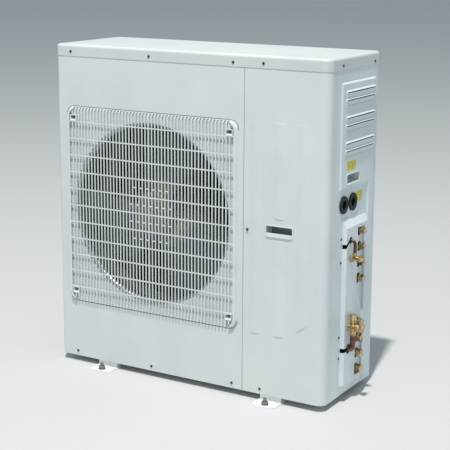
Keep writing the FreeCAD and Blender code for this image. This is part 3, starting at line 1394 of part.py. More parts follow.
def partition_plate():
    """The wall between the fan side and the compressor side, with the heat sink's window."""
    body = new_body("partition_plate")
    over_rim = "base + pan_flange + fit_gap"
    behind_rim = "pan_front + pan_gauge + fit_gap"
    pad(body, "YZ", "partition_x", "sheet_gauge",
        [[(behind_rim, "pan_floor + fit_gap"), ("partition_end", "pan_floor + fit_gap"),
          ("partition_end", "sheet_top - fit_gap"), ("inner_front + fit_gap", "sheet_top - fit_gap"),
          ("inner_front + fit_gap", over_rim), (behind_rim, over_rim)]])
    pad(body, "XY", "pan_floor + fit_gap", "sheet_top - pan_floor - 2 * fit_gap",
        [rectangle("partition_x", "partition_end - sheet_gauge", "partition_x + seam_flange / 2",
                   "partition_end")])
    pocket(body, "YZ", "partition_x", "sheet_gauge",
           [around("sink_y", "sink_z", "sink_wide - 2 * seam_flange",
                   "sink_high - 2 * seam_flange")])
    return body


# Compressor side

def compressor():
    """A welded shell with domed ends on a three-cornered foot plate."""
    body = new_body("compressor")
    pad(body, "XY", "shell_base", "compressor_height",
        circles=[("compressor_x", "compressor_y", "compressor_diameter")])
    round_edges(body, "compressor_dome", flat_at("shell_base + compressor_height"))
    round_edges(body, "compressor_dome / 2", flat_at("shell_base"))
    corners = []
    for number in range(3):
        turn = f"{90 + 120 * number}"
        corners.append((f"compressor_x + foot_plate_reach * cos({turn})",
                        f"compressor_y + foot_plate_reach * sin({turn})"))
    pad(body, "XY", "shell_base", "plate_gauge", [corners])
    pocket(body, "XY", "shell_base", "plate_gauge",
           circles=[(*spot, "stud_diameter + 2 * fit_gap") for spot in mount_spots()])
    return body


def mount_spots():
    """The plan positions of the compressor's three feet."""
    return [(f"compressor_x + mount_circle / 2 * cos({turn})",
             f"compressor_y + mount_circle / 2 * sin({turn})") for turn in (90, 210, 330)]


def compressor_mounts():
    """Rubber feet on the pan's seat, each with a waist, round its stud."""
    feet = []
    for across, deep in mount_spots():
        height = "mount_height - 2 * fit_gap"
        foot = rod("rubber_foot", (across, deep, "mount_seat + fit_gap"), "Z", height,
                   "mount_diameter")
        bore = rod("rubber_bore", (across, deep, "mount_seat + fit_gap"), "Z", height,
                   "stud_diameter + 2 * fit_gap")
        feet.append(cut("rubber_mount", foot, bore))
    return keep(gather("compressor_mounts", *feet), "compressor_mounts")


def compressor_nuts():
    """The studs that stand on the pan's seat, each with its nut on the foot plate."""
    studs = []
    for across, deep in mount_spots():
        stud = rod("stud", (across, deep, "mount_seat + fit_gap"), "Z",
                   "mount_height + plate_gauge + 1.5 * stud_diameter", "stud_diameter")
        nut = hexagon("stud_nut", (across, deep, "shell_base + plate_gauge + fit_gap"), "Z",
                      "0.8 * stud_diameter", "2 * stud_diameter")
        studs.append(fuse("stud_and_nut", stud, nut))
    return keep(gather("compressor_nuts", *studs), "compressor_nuts")


def terminal_cover():
    """The cap over the compressor's terminals."""
    cap = rod("terminal_cap", ("compressor_x - compressor_diameter / 4",
                               "compressor_y - compressor_diameter / 4",
                               "shell_base + compressor_height - compressor_dome / 2"), "Z",
              "compressor_dome", "compressor_diameter / 4")
    shell = rod("terminal_room", ("compressor_x", "compressor_y", "shell_base"), "Z",
                "compressor_height + fit_gap", "compressor_diameter + 2 * fit_gap")
    return keep(cut("terminal_cover", cap, shell), "terminal_cover")


def accumulator():
    """The suction accumulator, a drawn can with domed ends and a standing outlet."""
    body = new_body("accumulator")
    pad(body, "XY", "accumulator_base", "accumulator_height",
        circles=[("compressor_x", "accumulator_y", "accumulator_diameter")])
    round_edges(body, "accumulator_dome", flat_at("accumulator_base + accumulator_height"))
    round_edges(body, "accumulator_dome", flat_at("accumulator_base"))
    return body


def accumulator_strap():
    """The clamp that ties the accumulator to the compressor's shell."""
    level = "accumulator_base + accumulator_height / 2"
    band = rod("band", ("compressor_x", "accumulator_y", level), "Z", "strap_width",
               "accumulator_diameter + 2 * fit_gap + 2 * strap_gauge")
    arm = block("strap_arm", ("compressor_x - strap_width / 2", "compressor_y", level),
                ("strap_width", "accumulator_y - compressor_y", "strap_width"))
    tank = rod("strap_tank", ("compressor_x", "accumulator_y", level), "Z", "strap_width",
               "accumulator_diameter + 2 * fit_gap")
    shell = rod("strap_shell", ("compressor_x", "compressor_y", level), "Z", "strap_width",
                "compressor_diameter + 2 * fit_gap")
    return keep(cut("accumulator_strap", fuse("strap_body", band, arm), tank, shell),
                "accumulator_strap")


def four_way_valve():
    """The reversing valve: a lying body with one stub above and three below."""
    body = rod("valve_barrel", ("compressor_x - switch_length / 2", "port_y", "switch_z"), "X",
               "switch_length", "switch_diameter")
    stubs = [rod("valve_stub", ("compressor_x", "port_y", "switch_z"), "Z",
                 "switch_stub", "discharge_tube + 2")]
    for side in (-1, 0, 1):
        place = (f"compressor_x + {side} * switch_pitch", "port_y", "switch_z - switch_stub")
        stubs.append(rod("valve_stub", place, "Z", "switch_stub", "suction_tube + 2"))
    return keep(fuse("four_way_valve", body, *stubs), "four_way_valve")


def four_way_coil():
    """The pilot coil in front of the reversing valve."""
    coil = block("pilot", ("compressor_x - switch_diameter",
                           "port_y - switch_diameter / 2 - fit_gap - switch_diameter",
                           "switch_z - switch_diameter / 2"),
                 ("2 * switch_diameter", "switch_diameter", "switch_diameter"))
    return keep(coil, "four_way_coil")


def pipes():
    """The refrigerant pipes between the compressor, valves, coil and manifolds."""
    top = "shell_base + compressor_height + fit_gap"
    above = "switch_z + switch_stub + fit_gap"
    below = "switch_z - switch_stub - fit_gap"
    loop = f"{above} + 3 * pipe_bend"
    keep(bent_tube("discharge_pipe", [
        ("compressor_x", "compressor_y", top), ("compressor_x", "compressor_y", loop),
        ("compressor_x", "port_y", loop), ("compressor_x", "port_y", above)],
        "discharge_tube", "pipe_bend"), "discharge_pipe")
    tank = "accumulator_base + accumulator_height + fit_gap"
    turn = f"{below} - 2 * pipe_bend"
    keep(bent_tube("suction_pipe", [
        ("compressor_x", "port_y", below), ("compressor_x", "port_y", turn),
        ("compressor_x", "accumulator_y", turn), ("compressor_x", "accumulator_y", tank)],
        "suction_tube", "pipe_bend"), "suction_pipe")
    left_stub = "compressor_x - switch_pitch"
    riser = "bend_x + bend_span + 1.5 * suction_tube"
    lane = "coil_front + coil_depth / 4"
    coil_face = "coil_end_x + fit_gap + coil_end + fit_gap"
    header = "coil_top - bend_span / 2"
    keep(bent_tube("coil_gas_pipe", [
        (left_stub, "port_y", below), (left_stub, "port_y", turn), (riser, "port_y", turn),
        (riser, lane, turn), (riser, lane, header), (coil_face, lane, header)],
        "suction_tube", "0.8 * pipe_bend"), "coil_gas_pipe")
    right_stub = "compressor_x + switch_pitch"
    keep(bent_tube("service_gas_pipe", [
        (right_stub, "port_y", below), (right_stub, "port_y", turn), ("gas_riser_x", "port_y", turn),
        ("gas_riser_x", "port_y", "gas_pipe_z"), ("gas_header_x", "port_y", "gas_pipe_z"),
        ("gas_header_x", "port_y", "gas_header_top + fit_gap")],
        "suction_tube", "riser_bend"), "service_gas_pipe")
    floor = "mount_seat + pipe_bend"
    keep(bent_tube("liquid_pipe", [
        (coil_face, lane, floor), ("liquid_header_x", lane, floor),
        ("liquid_header_x", lane, "liquid_pipe_z"), ("liquid_header_x", "port_y", "liquid_pipe_z"),
        ("liquid_header_x", "port_y", "liquid_header_low - fit_gap")],
        "tube_diameter", "0.8 * pipe_bend"), "liquid_pipe")


def manifolds():
    """The liquid and gas headers, each with one branch for every port."""
    for node, across, low, top, first, size, reach in (
            ("liquid_manifold", "liquid_header_x", "liquid_header_low", "liquid_header_top",
             "liquid_port_high", "header_tube", "expansion_x - fit_gap"),
            ("gas_manifold", "gas_header_x", "gas_header_low", "gas_header_top",
             "gas_port_high", "suction_tube + 4", "stub_x - fit_gap")):
        pipe = rod("header", (across, "port_y", low), "Z", f"{top} - ({low})", size)
        branches = []
        for number in range(int(value("ports_per_group"))):
            level = f"base + {first} - {number} * port_pitch"
            branches.append(rod("branch", (across, "port_y", level), "X",
                                f"{reach} - ({across})", "tube_diameter"))
        keep(fuse(node, pipe, *branches), node)


def expansion_valves():
    """One electronic expansion valve for each liquid port: a brass body in its round coil."""
    valves = []
    for number in range(int(value("ports_per_group"))):
        level = f"base + liquid_port_high - {number} * port_pitch"
        length = "stub_x - fit_gap - expansion_x"
        body = rod("valve_body", ("expansion_x", "port_y", level), "X", length,
                   "expansion_body")
        coil = rod("valve_coil", (f"expansion_x + ({length}) / 4", "port_y", level), "X",
                   f"({length}) / 2", "expansion_coil")
        valves.append(fuse("expansion_valve", body, coil))
    return keep(gather("expansion_valves", *valves), "expansion_valves")


def ports():
    """Flare port stubs through the groove's holes, with a capped, threaded end."""
    caps = []
    for kind in ("liquid", "gas"):
        stubs = []
        for number in range(int(value("ports_per_group"))):
            level = f"base + {kind}_port_high - {number} * port_pitch"
            tip = "cap_tip - cap_end - fit_gap"
            neck = rod("port_stub", ("stub_x", "port_y", level), "X", f"{tip} - stub_x",
                       f"{kind}_port")
            shoulder = hexagon("port_hexagon", ("stub_x", "port_y", level), "X",
                               "groove_face - stub_x + port_collar", f"{kind}_cap")
            stubs.append(fuse("port", neck, shoulder))
            start = ("cap_tip - cap_length", "port_y", level)
            cap = hexagon("port_cap", start, "X", "cap_length", f"{kind}_cap")
            room = rod("cap_room", start, "X", "cap_length - cap_end",
                       f"{kind}_port + 2 * fit_gap")
            caps.append(cut("capped", cap, room))
        keep(gather(f"{kind}_ports", *stubs), f"{kind}_ports")
    keep(gather("flare_port_caps", *caps), "flare_port_caps")


def service_valves():
    """The two stop valves outside the plate, their caps and the tubes that lead inside."""
    centre = ("valve_x", "valve_y")
    liquid_z, gas_z = "base + liquid_valve_above", "base + gas_valve_above"
    small, large = "liquid_valve_size", "gas_valve_size"
    outer_caps = [rod("stem_cap", (*centre, f"{gas_z} + {large} + fit_gap"), "Z", "valve_cap",
                      f"0.85 * {large}")]
    charge_caps = []
    for kind, level, size, below in (("liquid", liquid_z, small, f"{small} / 2"),
                                     ("gas", gas_z, large, large)):
        outlet_end = f"valve_x + {size} / 2 + outlet_neck"
        keep(fuse(f"{kind}_service_valve",
                  rod("valve_core", (*centre, f"{level} - {below}"), "Z", f"{below} + {size}",
                      f"0.7 * {size}"),
                  rod("valve_barrel", ("plate_face + fit_gap", "valve_y", level), "X",
                      f"{outlet_end} - plate_face - fit_gap", f"0.75 * {size}"),
                  rod("charge_port", (*centre, level), "-Y", size, f"0.45 * {size}")),
             f"{kind}_service_valve")
        outer_caps.append(hexagon("outlet_cap", (f"{outlet_end} + fit_gap", "valve_y", level),
                                  "X", "valve_cap", f"{kind}_outlet_cap"))
        charge_caps.append(rod("charge_cap", ("valve_x", f"valve_y - {size} - fit_gap", level),
                               "-Y", "charge_cap_length", "charge_cap"))
    keep(gather("service_valve_caps", *outer_caps), "service_valve_caps")
    keep(gather("charge_port_caps", *charge_caps), "charge_port_caps")
    keep(bent_tube("liquid_valve_tube", [
        (*centre, f"{liquid_z} + {small} + fit_gap"), (*centre, "liquid_entry_z"),
        ("liquid_header_x", "valve_y", "liquid_entry_z"),
        ("liquid_header_x", "port_y - header_tube / 2 - fit_gap", "liquid_entry_z")],
        "liquid_tube", "small_bend"), "liquid_valve_tube")
    keep(bent_tube("gas_valve_tube", [
        (*centre, f"{gas_z} - {large} - fit_gap"), (*centre, "gas_entry_z"),
        ("gas_header_x", "valve_y", "gas_entry_z"),
        ("gas_header_x", "port_y - suction_tube / 2 - 2 - fit_gap", "gas_entry_z")],
        "gas_tube", "small_bend"), "gas_valve_tube")


def electrical_box():
    """A folded box open at the front, flanged to the partition."""
    wall = "box_gauge"
    outer = block("box_outside", ("box_left", "box_front", "box_base"),
                  ("box_width", "box_depth", "box_height"))
    inner = block("box_inside", (f"box_left + {wall}", "box_front", f"box_base + {wall}"),
                  (f"box_width - 2 * {wall}", f"box_depth - {wall}", f"box_height - 2 * {wall}"))
    keep(cut("electrical_box", outer, inner), "electrical_box")
    keep(block("box_lid", ("box_left", f"box_front - fit_gap - {wall}", "box_base"),
               ("box_width", wall, "box_height")), "electrical_lid")
    board_y = f"box_front + box_depth - {wall} - board_stand"
    stand = "board_margin"
    board = block("board", (f"box_left + {wall} + {stand}", board_y,
                            f"box_base + {wall} + {stand}"),
                  (f"box_width - 2 * {wall} - 2 * {stand}", "board_gauge",
                   f"box_height - 2 * {wall} - 2 * {stand}"))
    spacers = []
    for side in (0.15, 0.85):
        for tier in (0.15, 0.85):
            spacers.append(rod("spacer", (f"box_left + {side} * box_width",
                                          f"{board_y} + board_gauge",
                                          f"box_base + {tier} * box_height"), "Y",
                               "board_stand - board_gauge - fit_gap", "stud_diameter"))
    keep(fuse("control_board", board, *spacers), "control_board")
    cans = []
    for number in range(3):
        cans.append(rod("capacitor", (f"box_left + box_width * ({number} + 1) / 4",
                                      f"{board_y} - fit_gap", "box_base + 0.68 * box_height"),
                        "-Y", "can_length", "can_diameter"))
    keep(gather("capacitors", *cans), "capacitors")
    keep(block("terminals", ("box_left + box_width / 4",
                             f"{board_y} - fit_gap - 1.2 * can_diameter",
                             "box_base + 0.12 * box_height"),
               ("box_width / 2", "1.2 * can_diameter", "can_diameter")), "terminal_block")


def heat_sink():
    """The power stage's finned cooler on the fan side of the partition's window."""
    face = "partition_x - fit_gap - sink_base"
    fins = int(value("sink_fins"))
    parts = [block("sink_plate", (face, "sink_y - sink_wide / 2", "sink_z - sink_high / 2"),
                   ("sink_base", "sink_wide", "sink_high"))]
    for number in range(fins):
        deep = f"sink_y - sink_wide / 2 + {number} * (sink_wide - sink_fin) / {fins - 1}"
        parts.append(block("sink_fin", (f"{face} - sink_reach", deep, "sink_z - sink_high / 2"),
                           ("sink_reach", "sink_fin", "sink_high")))
    return keep(fuse("heat_sink", *parts), "heat_sink")


def reactor():
    """The choke on the partition, an iron core with its winding."""
    place = "partition_x + sheet_gauge + fit_gap"
    core = block("reactor_core", (place, "reactor_y", "reactor_z"),
                 ("reactor_size", "reactor_size", "0.6 * reactor_size"))
    winding = block("reactor_winding",
                    (f"{place} + 0.25 * reactor_size", "reactor_y - 0.12 * reactor_size",
                     "reactor_z - 0.12 * reactor_size"),
                    ("0.5 * reactor_size", "1.24 * reactor_size", "0.84 * reactor_size"))
    return keep(fuse("reactor", core, winding), "reactor")


def drain_outlet():
    """The drain spigot, pushed into the pan's hole from above."""
    centre = ("left + drain_from_left", "front + drain_from_front")
    flange = rod("drain_flange", (*centre, "pan_floor + fit_gap"), "Z", "drain_wall",
                 "drain_diameter + 4 * drain_wall")
    neck = rod("drain_neck", (*centre, "base - drain_drop"), "Z",
               "pan_gauge + fit_gap + drain_drop", "drain_diameter - 2 * fit_gap")
    bore = rod("drain_bore", (*centre, "base - drain_drop"), "Z",
               "drain_drop + pan_gauge + fit_gap + drain_wall",
               "drain_diameter - 2 * fit_gap - 2 * drain_wall")
    return keep(cut("drain_outlet", fuse("drain_body", flange, neck), bore), "drain_outlet")


base_pan()
foot_rail("foot_rail_left", -1)
foot_rail("foot_rail_right", 1)
front_panel()
bell_mouth()
fan_grille()
service_panel()
grip("service_grip", "XZ", "front", "front_grip_x", "front_grip_z", "front_grip_width",
     "front_grip_height", 1)
side_panel()
rear_panel()
grip("side_grip", "YZ", "emboss_face", "side_grip_y", "side_grip_z", "side_grip_width",
     "side_grip_height", -1)
cable_grommets()
valve_plate()
tube_sleeves()
top_cover()
corner_post()
coil_guard()
motor_bracket()
fan_motor()
motor_shaft()
fan()
fan_nut()
condenser_coil()
coil_end_plates()
coil_return_bends()
partition_plate()
compressor()
compressor_mounts()
compressor_nuts()
terminal_cover()
accumulator()
accumulator_strap()
four_way_valve()
four_way_coil()
pipes()
manifolds()
expansion_valves()
ports()
service_valves()
electrical_box()
heat_sink()
reactor()
drain_outlet()
doc.recompute()

for thing in doc.Objects:
    if "Invalid" in thing.State or "Error" in thing.State:
        raise RuntimeError(f"{thing.Label} failed: {thing.State}")

os.makedirs("parts", exist_ok=True)
for node, thing in SUBPARTS.items():
    shape = thing.Shape
    if shape.isNull() or not shape.isValid():
        raise RuntimeError(f"{node} has no valid shape")
    shape.exportStep(f"parts/{node}.step")
print(len(SUBPARTS), "sub-parts")
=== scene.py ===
# %% [markdown]
# # Outdoor unit of a split air conditioner
#
# The cabinet, fan, coil and pipes are already solids in the imported model. This scene
# gives each of them the finish of the real thing, with painted light and shade on the
# fins, the fan and the brass, draws the front grille and the louvred side sheet again in
# finer detail, and adds what a drawing leaves to the fitter: screws, rims of the hand
# holes, stickers and anchor bolts, with grey sheets of painted shade in the hand holes,
# in the screws' recesses and in the gaps at the grille and between the front sheets.
# The unit stands on a pale floor and is seen from its front right.

# %% Load the imported model
import json
import math

import bmesh
import bpy
from mathutils import Matrix, Quaternion, Vector


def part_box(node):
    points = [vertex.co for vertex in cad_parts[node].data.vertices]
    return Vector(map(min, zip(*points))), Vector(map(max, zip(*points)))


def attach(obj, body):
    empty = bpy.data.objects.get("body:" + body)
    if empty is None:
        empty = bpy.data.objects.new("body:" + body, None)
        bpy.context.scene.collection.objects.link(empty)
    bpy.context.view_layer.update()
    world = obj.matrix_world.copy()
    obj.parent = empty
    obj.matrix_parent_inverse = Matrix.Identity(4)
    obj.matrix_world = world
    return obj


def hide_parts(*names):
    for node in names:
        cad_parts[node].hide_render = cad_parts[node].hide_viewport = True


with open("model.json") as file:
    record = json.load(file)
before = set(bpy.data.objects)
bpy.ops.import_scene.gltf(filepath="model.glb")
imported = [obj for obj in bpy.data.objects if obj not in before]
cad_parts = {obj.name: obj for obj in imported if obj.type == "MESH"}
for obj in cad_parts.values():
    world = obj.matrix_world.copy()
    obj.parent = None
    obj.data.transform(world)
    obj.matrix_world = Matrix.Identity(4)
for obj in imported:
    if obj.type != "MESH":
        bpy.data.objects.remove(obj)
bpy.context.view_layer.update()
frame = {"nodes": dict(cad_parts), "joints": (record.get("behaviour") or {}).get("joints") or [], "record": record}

MM = 0.001

# %% [markdown]
# ## How a finish is written
#
# A colour is picked as sRGB hex, the way a paint card or a picture shows it, while a
# shader wants linear light, so one function turns it over. Pattern scales come from
# millimetres: a texture's Scale is the number of features in one metre, so a grain of
# 2 mm has a scale of 500. One function adds a node with its settings and its links,
# and every material below is built with it.

# %% Colours and scales


def colour(text):
    """The linear colour of an sRGB hex value."""
    def linear(part):
        return part / 12.92 if part <= 0.04045 else ((part + 0.055) / 1.055) ** 2.4

    return tuple(linear(int(text[i:i + 2], 16) / 255) for i in (1, 3, 5)) + (1.0,)


def per_metre(millimetres):
    """The texture scale at which one feature is this wide."""
    return 1000 / millimetres


print("mid grey #808080 is", round(colour("#808080")[0], 3), "in linear light")

# %% Materials and nodes


def add(material, kind, settings=None, links=None):
    """Adds one node, sets its properties and sockets, and links outputs to its sockets."""
    node = material.node_tree.nodes.new(kind)
    for name, value in (settings or {}).items():
        if hasattr(node, name):
            setattr(node, name, value)
        else:
            node.inputs[name].default_value = value
    for name, output in (links or {}).items():
        material.node_tree.links.new(output, node.inputs[name])
    return node


def new_material(name, hex_colour, **sockets):
    """A material with one shader, its sockets set, and the object's own coordinates."""
    material = bpy.data.materials.new(name)
    material.use_nodes = True
    shader = material.node_tree.nodes["Principled BSDF"]
    shader.inputs["Base Color"].default_value = colour(hex_colour)
    for socket, value in sockets.items():
        shader.inputs[socket.replace("_", " ")].default_value = value
    place = add(material, "ShaderNodeTexCoord").outputs["Object"]
    return material, shader, place


print("helpers for nodes ready")

# %% Patterns and bumps


def stops(material, factor, *pairs):
    """A colour ramp from (position, hex) pairs, driven by a value."""
    ramp = add(material, "ShaderNodeValToRGB", links={"Fac": factor})
    band = ramp.color_ramp
    while len(band.elements) < len(pairs):
        band.elements.new(0.5)
    for element, (position, text) in zip(band.elements, pairs):
        element.position = position
        element.color = colour(text)
    return ramp.outputs["Color"]


def relief(material, shader, height, depth_mm):
    """Turns a height pattern into bumps of this depth."""
    bump = add(material, "ShaderNodeBump", {"Distance": depth_mm * MM, "Strength": 1.0},
               {"Height": height})
    material.node_tree.links.new(bump.outputs["Normal"], shader.inputs["Normal"])


def noise(material, place, feature_mm, detail=2.0):
    """A cloudy pattern whose features are about this wide."""
    return add(material, "ShaderNodeTexNoise",
               {"Scale": per_metre(feature_mm), "Detail": detail}, {"Vector": place}).outputs["Fac"]


print("helpers for patterns ready")

# %% [markdown]
# ## Enamel on sheet steel
#
# The panels are zinc-coated sheet, sprayed and baked. The coat flows before it sets, so
# it keeps a faint orange peel, waves of 2 to 3 mm that break the edge of a reflection.
# A wide, weak cloud in the colour stands for dust and uneven light on thin sheet. The
# peel is real, so it is a bump; it is too shallow to need geometry. The photograph's
# whites differ a little from sheet to sheet, so each kind of sheet has its own.

# %% Enamel for panels, feet and pan
DUST_CLOUD_MM = 180
PEEL_MM = 2.5
PEEL_DEPTH_MM = 0.02


def enamel(name, light, dark, roughness):
    """Baked enamel: a wide cloud between two close colours and an orange peel."""
    material, shader, place = new_material(name, light, Roughness=roughness, Coat_Weight=0.15,
                                           Coat_Roughness=0.25)
    cloud = noise(material, place, DUST_CLOUD_MM, detail=3.0)
    tint = stops(material, cloud, (0.35, dark), (0.65, light))
    material.node_tree.links.new(tint, shader.inputs["Base Color"])
    relief(material, shader, noise(material, place, PEEL_MM), PEEL_DEPTH_MM)
    return material


panel_enamel = enamel("Baked enamel on zinc-coated sheet", "#D3D9DC", "#CDD4D8", 0.42)
frame_enamel = enamel("Baked enamel on thick steel", "#E3E7E8", "#DADFE1", 0.48)
plate_enamel = enamel("Baked enamel on valve plate", "#D5E0E4", "#CCD7DC", 0.40)
side_enamel = enamel("Baked enamel on side sheet", "#D3DFE3", "#CBD9DE", 0.42)
cover_enamel = enamel("Baked enamel on cover", "#CCD2D5", "#C6CDD0", 0.42)
shell_black = enamel("Black enamel on drawn steel", "#1E2022", "#17191A", 0.36)
print("enamel:", panel_enamel.name, "and five like it")

# %% [markdown]
# ## Moulded plastics
#
# Grille and grips are moulded in weather-proof ASA, white and a little duller than the
# sheet. The mould is spark-eroded, so the skin has a grain of about half a millimetre.
# The motor is potted in a cream polyester compound, which is coarser.

# %% Plastics
MELT_CLOUD_MM = 60


def moulded(name, light, dark, roughness, grain_mm=0.6, depth_mm=0.01):
    """Moulded plastic: two close colours and a spark-eroded grain."""
    material, shader, place = new_material(name, light, Roughness=roughness)
    cloud = noise(material, place, MELT_CLOUD_MM)
    tint = stops(material, cloud, (0.3, dark), (0.7, light))
    material.node_tree.links.new(tint, shader.inputs["Base Color"])
    relief(material, shader, noise(material, place, grain_mm), depth_mm)
    return material


grille_white = moulded("Moulded ASA, white", "#D8DEE0", "#CFD6D9", 0.45)
grip_white = moulded("Moulded ASA, pale", "#DCE1E3", "#D3D9DC", 0.50)
motor_cream = moulded("Moulded polyester compound, cream", "#A6A78F", "#92947C", 0.62, 1.2, 0.03)
nylon_dark = moulded("Moulded nylon, black", "#26292C", "#1C1F22", 0.50)
nylon_cream = moulded("Moulded nylon, cream", "#CFCBBB", "#BEB9A6", 0.50)
print("plastics:", grille_white.name, "and four more")

# %% [markdown]
# The fan is moulded in glass-filled AS. Its colour is painted light and shade: cream
# over the hub, painted light, and dark slate out in the blades, painted shade of the dark
# fan chamber. It turns about the Y axis, so the distance from its axis is the length of
# a vector without its Y part. That distance drives the change from hub to blade.

# %% Fan plastic, painted light over the hub and painted shade in the blades
FAN_CENTRE = Vector(frame["joints"][0]["pos_m"])
HUB_LOOK = 75 * MM
BLADE_LOOK = 125 * MM
fan_plastic, fan_shader, fan_place = new_material("Moulded glass-filled AS", "#39444A",
                                                  Roughness=0.46)
centred = add(fan_plastic, "ShaderNodeMapping",
              {"Location": (-FAN_CENTRE.x, 0, -FAN_CENTRE.z), "Scale": (1, 0, 1)},
              {"Vector": fan_place})
radius = add(fan_plastic, "ShaderNodeVectorMath", {"operation": "LENGTH"},
             {0: centred.outputs["Vector"]})
spread = add(fan_plastic, "ShaderNodeMapRange", {"From Min": HUB_LOOK, "From Max": BLADE_LOOK},
             {"Value": radius.outputs["Value"]})
# Painted light and shade: cream at the hub, dark slate out in the blades.
fan_painted_light_and_shade = stops(fan_plastic, spread.outputs["Result"], (0.0, "#7E816C"), (1.0, "#2B353A"))
fan_plastic.node_tree.links.new(fan_painted_light_and_shade, fan_shader.inputs["Base Color"])
relief(fan_plastic, fan_shader, noise(fan_plastic, fan_place, feature_mm=1.0), depth_mm=0.015)
print("fan axis at", [round(c, 4) for c in FAN_CENTRE])

# %% [markdown]
# ## Rubber
#
# Grommets, sleeves and compressor mounts are EPDM: matt, nearly black, with a fine
# bloom that greys it in patches.

# %% Rubber
rubber, rubber_shader, rubber_place = new_material("Moulded EPDM rubber", "#101112",
                                                   Roughness=0.66)
patches = noise(rubber, rubber_place, feature_mm=14, detail=4.0)
bloom = stops(rubber, patches, (0.35, "#0B0C0D"), (0.75, "#181A1C"))
rubber.node_tree.links.new(bloom, rubber_shader.inputs["Base Color"])
relief(rubber, rubber_shader, noise(rubber, rubber_place, feature_mm=0.8), depth_mm=0.02)
print("rubber:", rubber.name)

# %% [markdown]
# ## Bare metals
#
# Zinc-coated sheet shows its spangle, crystals of 8 to 12 mm that each reflect a bit
# differently, which is what a Voronoi pattern's cells give. The thick zinc on the
# anchor bolts is dull and a little warm, and the panel screws are passivated dark. For
# each metal below the numbers are its roughness and then, in millimetres, the width
# of its patches, the width of its grain and the depth of that grain.

# %% Zinc sheet
SPANGLE_MM = 10
zinc, zinc_shader, zinc_place = new_material("Zinc-coated sheet, hot dipped", "#A8ADB0",
                                             Metallic=1.0, Roughness=0.46)
crystal = add(zinc, "ShaderNodeTexVoronoi", {"Scale": per_metre(SPANGLE_MM)},
              {"Vector": zinc_place})
grey = add(zinc, "ShaderNodeSeparateColor", links={"Color": crystal.outputs["Color"]})
zinc_tint = stops(zinc, grey.outputs["Red"], (0.0, "#9DA3A6"), (1.0, "#B9BEC0"))
zinc.node_tree.links.new(zinc_tint, zinc_shader.inputs["Base Color"])
relief(zinc, zinc_shader, noise(zinc, zinc_place, feature_mm=3.0), depth_mm=0.01)
print("spangle of", SPANGLE_MM, "mm")

# %% Steel and aluminium


def bare_metal(name, light, dark, roughness, cloud_mm, grain_mm, depth_mm):
    """A metal whose colour drifts between two tones, with a fine grain."""
    material, shader, place = new_material(name, light, Metallic=1.0, Roughness=roughness)
    cloud = noise(material, place, cloud_mm, detail=4.0)
    tint = stops(material, cloud, (0.35, dark), (0.65, light))
    material.node_tree.links.new(tint, shader.inputs["Base Color"])
    relief(material, shader, noise(material, place, grain_mm), depth_mm)
    return material


turned_steel = bare_metal("Turned steel, zinc plated", "#B4B6B5", "#9C9EA0", 0.34, 6, 0.5, 0.005)
plated_bolt = bare_metal("Hot-dip zinc on anchor bolts", "#9A978C", "#7C796F", 0.52, 7, 0.8, 0.02)
screw_steel = bare_metal("Pan-head screws, black zinc", "#5B5F63", "#45494C", 0.40, 5, 0.5, 0.005)
extruded_aluminium = bare_metal("Extruded aluminium", "#BDC1C4", "#AEB3B6", 0.38, 20, 0.7, 0.008)
print("bare metals:", turned_steel.name, "and three more")

# %% [markdown]
# Brass forgings are blasted before they are machined, so they are a warm satin, which
# tarnishes in patches. The caps are turned from bar, and darker where they have been
# handled. Both spread wide between pale and dark, wider than tarnish and wear: partly
# that is tarnish and wear, partly painted highlights and painted dark reflections. Copper
# tube dulls to brown as it ages and where the torch has heated it.

# %% Brass and copper
# The wide spread of these patches is painted highlight and painted dark reflection, with some tarnish.
brass = bare_metal("Forged brass, blasted", "#EDD09A", "#96702F", 0.26, 6, 0.6, 0.02)
cap_brass = bare_metal("Turned brass caps", "#F0D7AE", "#7E5A30", 0.24, 11, 0.5, 0.01)
copper = bare_metal("Drawn copper tube, dulled", "#8A6A58", "#57423A", 0.42, 16, 0.9, 0.01)
print("brass and copper:", brass.name, cap_brass.name, copper.name)

# %% [markdown]
# ## Fins of the coil
#
# The fins are sheets of aluminium 0.1 mm thick, 1.6 mm apart, that stand upright all
# round the L. They are far too fine for geometry, and for this picture too, so they are
# drawn 4 mm apart. The sum of X and Y runs along both legs of the L, so one formula
# counts the fins on each: its distance from the nearest whole pitch is small in a gap,
# which is painted dark as the shade between fins, and large on a fin's edge, which is
# painted light. The coating that sheds water makes them bluish.

# %% Aluminium fins
FIN_PITCH = 4 * MM
FIN_DEPTH_MM = 0.8
fins, fins_shader, fins_place = new_material("Fin stock, coated aluminium", "#8FA7AE",
                                             Metallic=0.7, Roughness=0.45)
along = add(fins, "ShaderNodeSeparateXYZ", links={"Vector": fins_place})
run = add(fins, "ShaderNodeMath", {"operation": "ADD"},
          {0: along.outputs["X"], 1: along.outputs["Y"]})
pitches = add(fins, "ShaderNodeMath", {"operation": "DIVIDE"}, {0: run.outputs["Value"]})
pitches.inputs[1].default_value = FIN_PITCH
within = add(fins, "ShaderNodeMath", {"operation": "PINGPONG"},
             {0: pitches.outputs["Value"]})
within.inputs[1].default_value = 0.5
# Painted shade in the gaps between fins and painted light on their edges.
fins_painted_shade_and_light = stops(fins, within.outputs["Value"], (0.12, "#1C2327"), (0.3, "#5A6E75"))
fins.node_tree.links.new(fins_painted_shade_and_light, fins_shader.inputs["Base Color"])
relief(fins, fins_shader, within.outputs["Value"], FIN_DEPTH_MM)
print("fins drawn every", FIN_PITCH / MM, "mm")

# %% [markdown]
# ## Control board and stickers
#
# The board is glass fibre under green resist, with copper tracks that show as a paler
# green. The stickers are polyester film, plain and blank, and a little wavy.

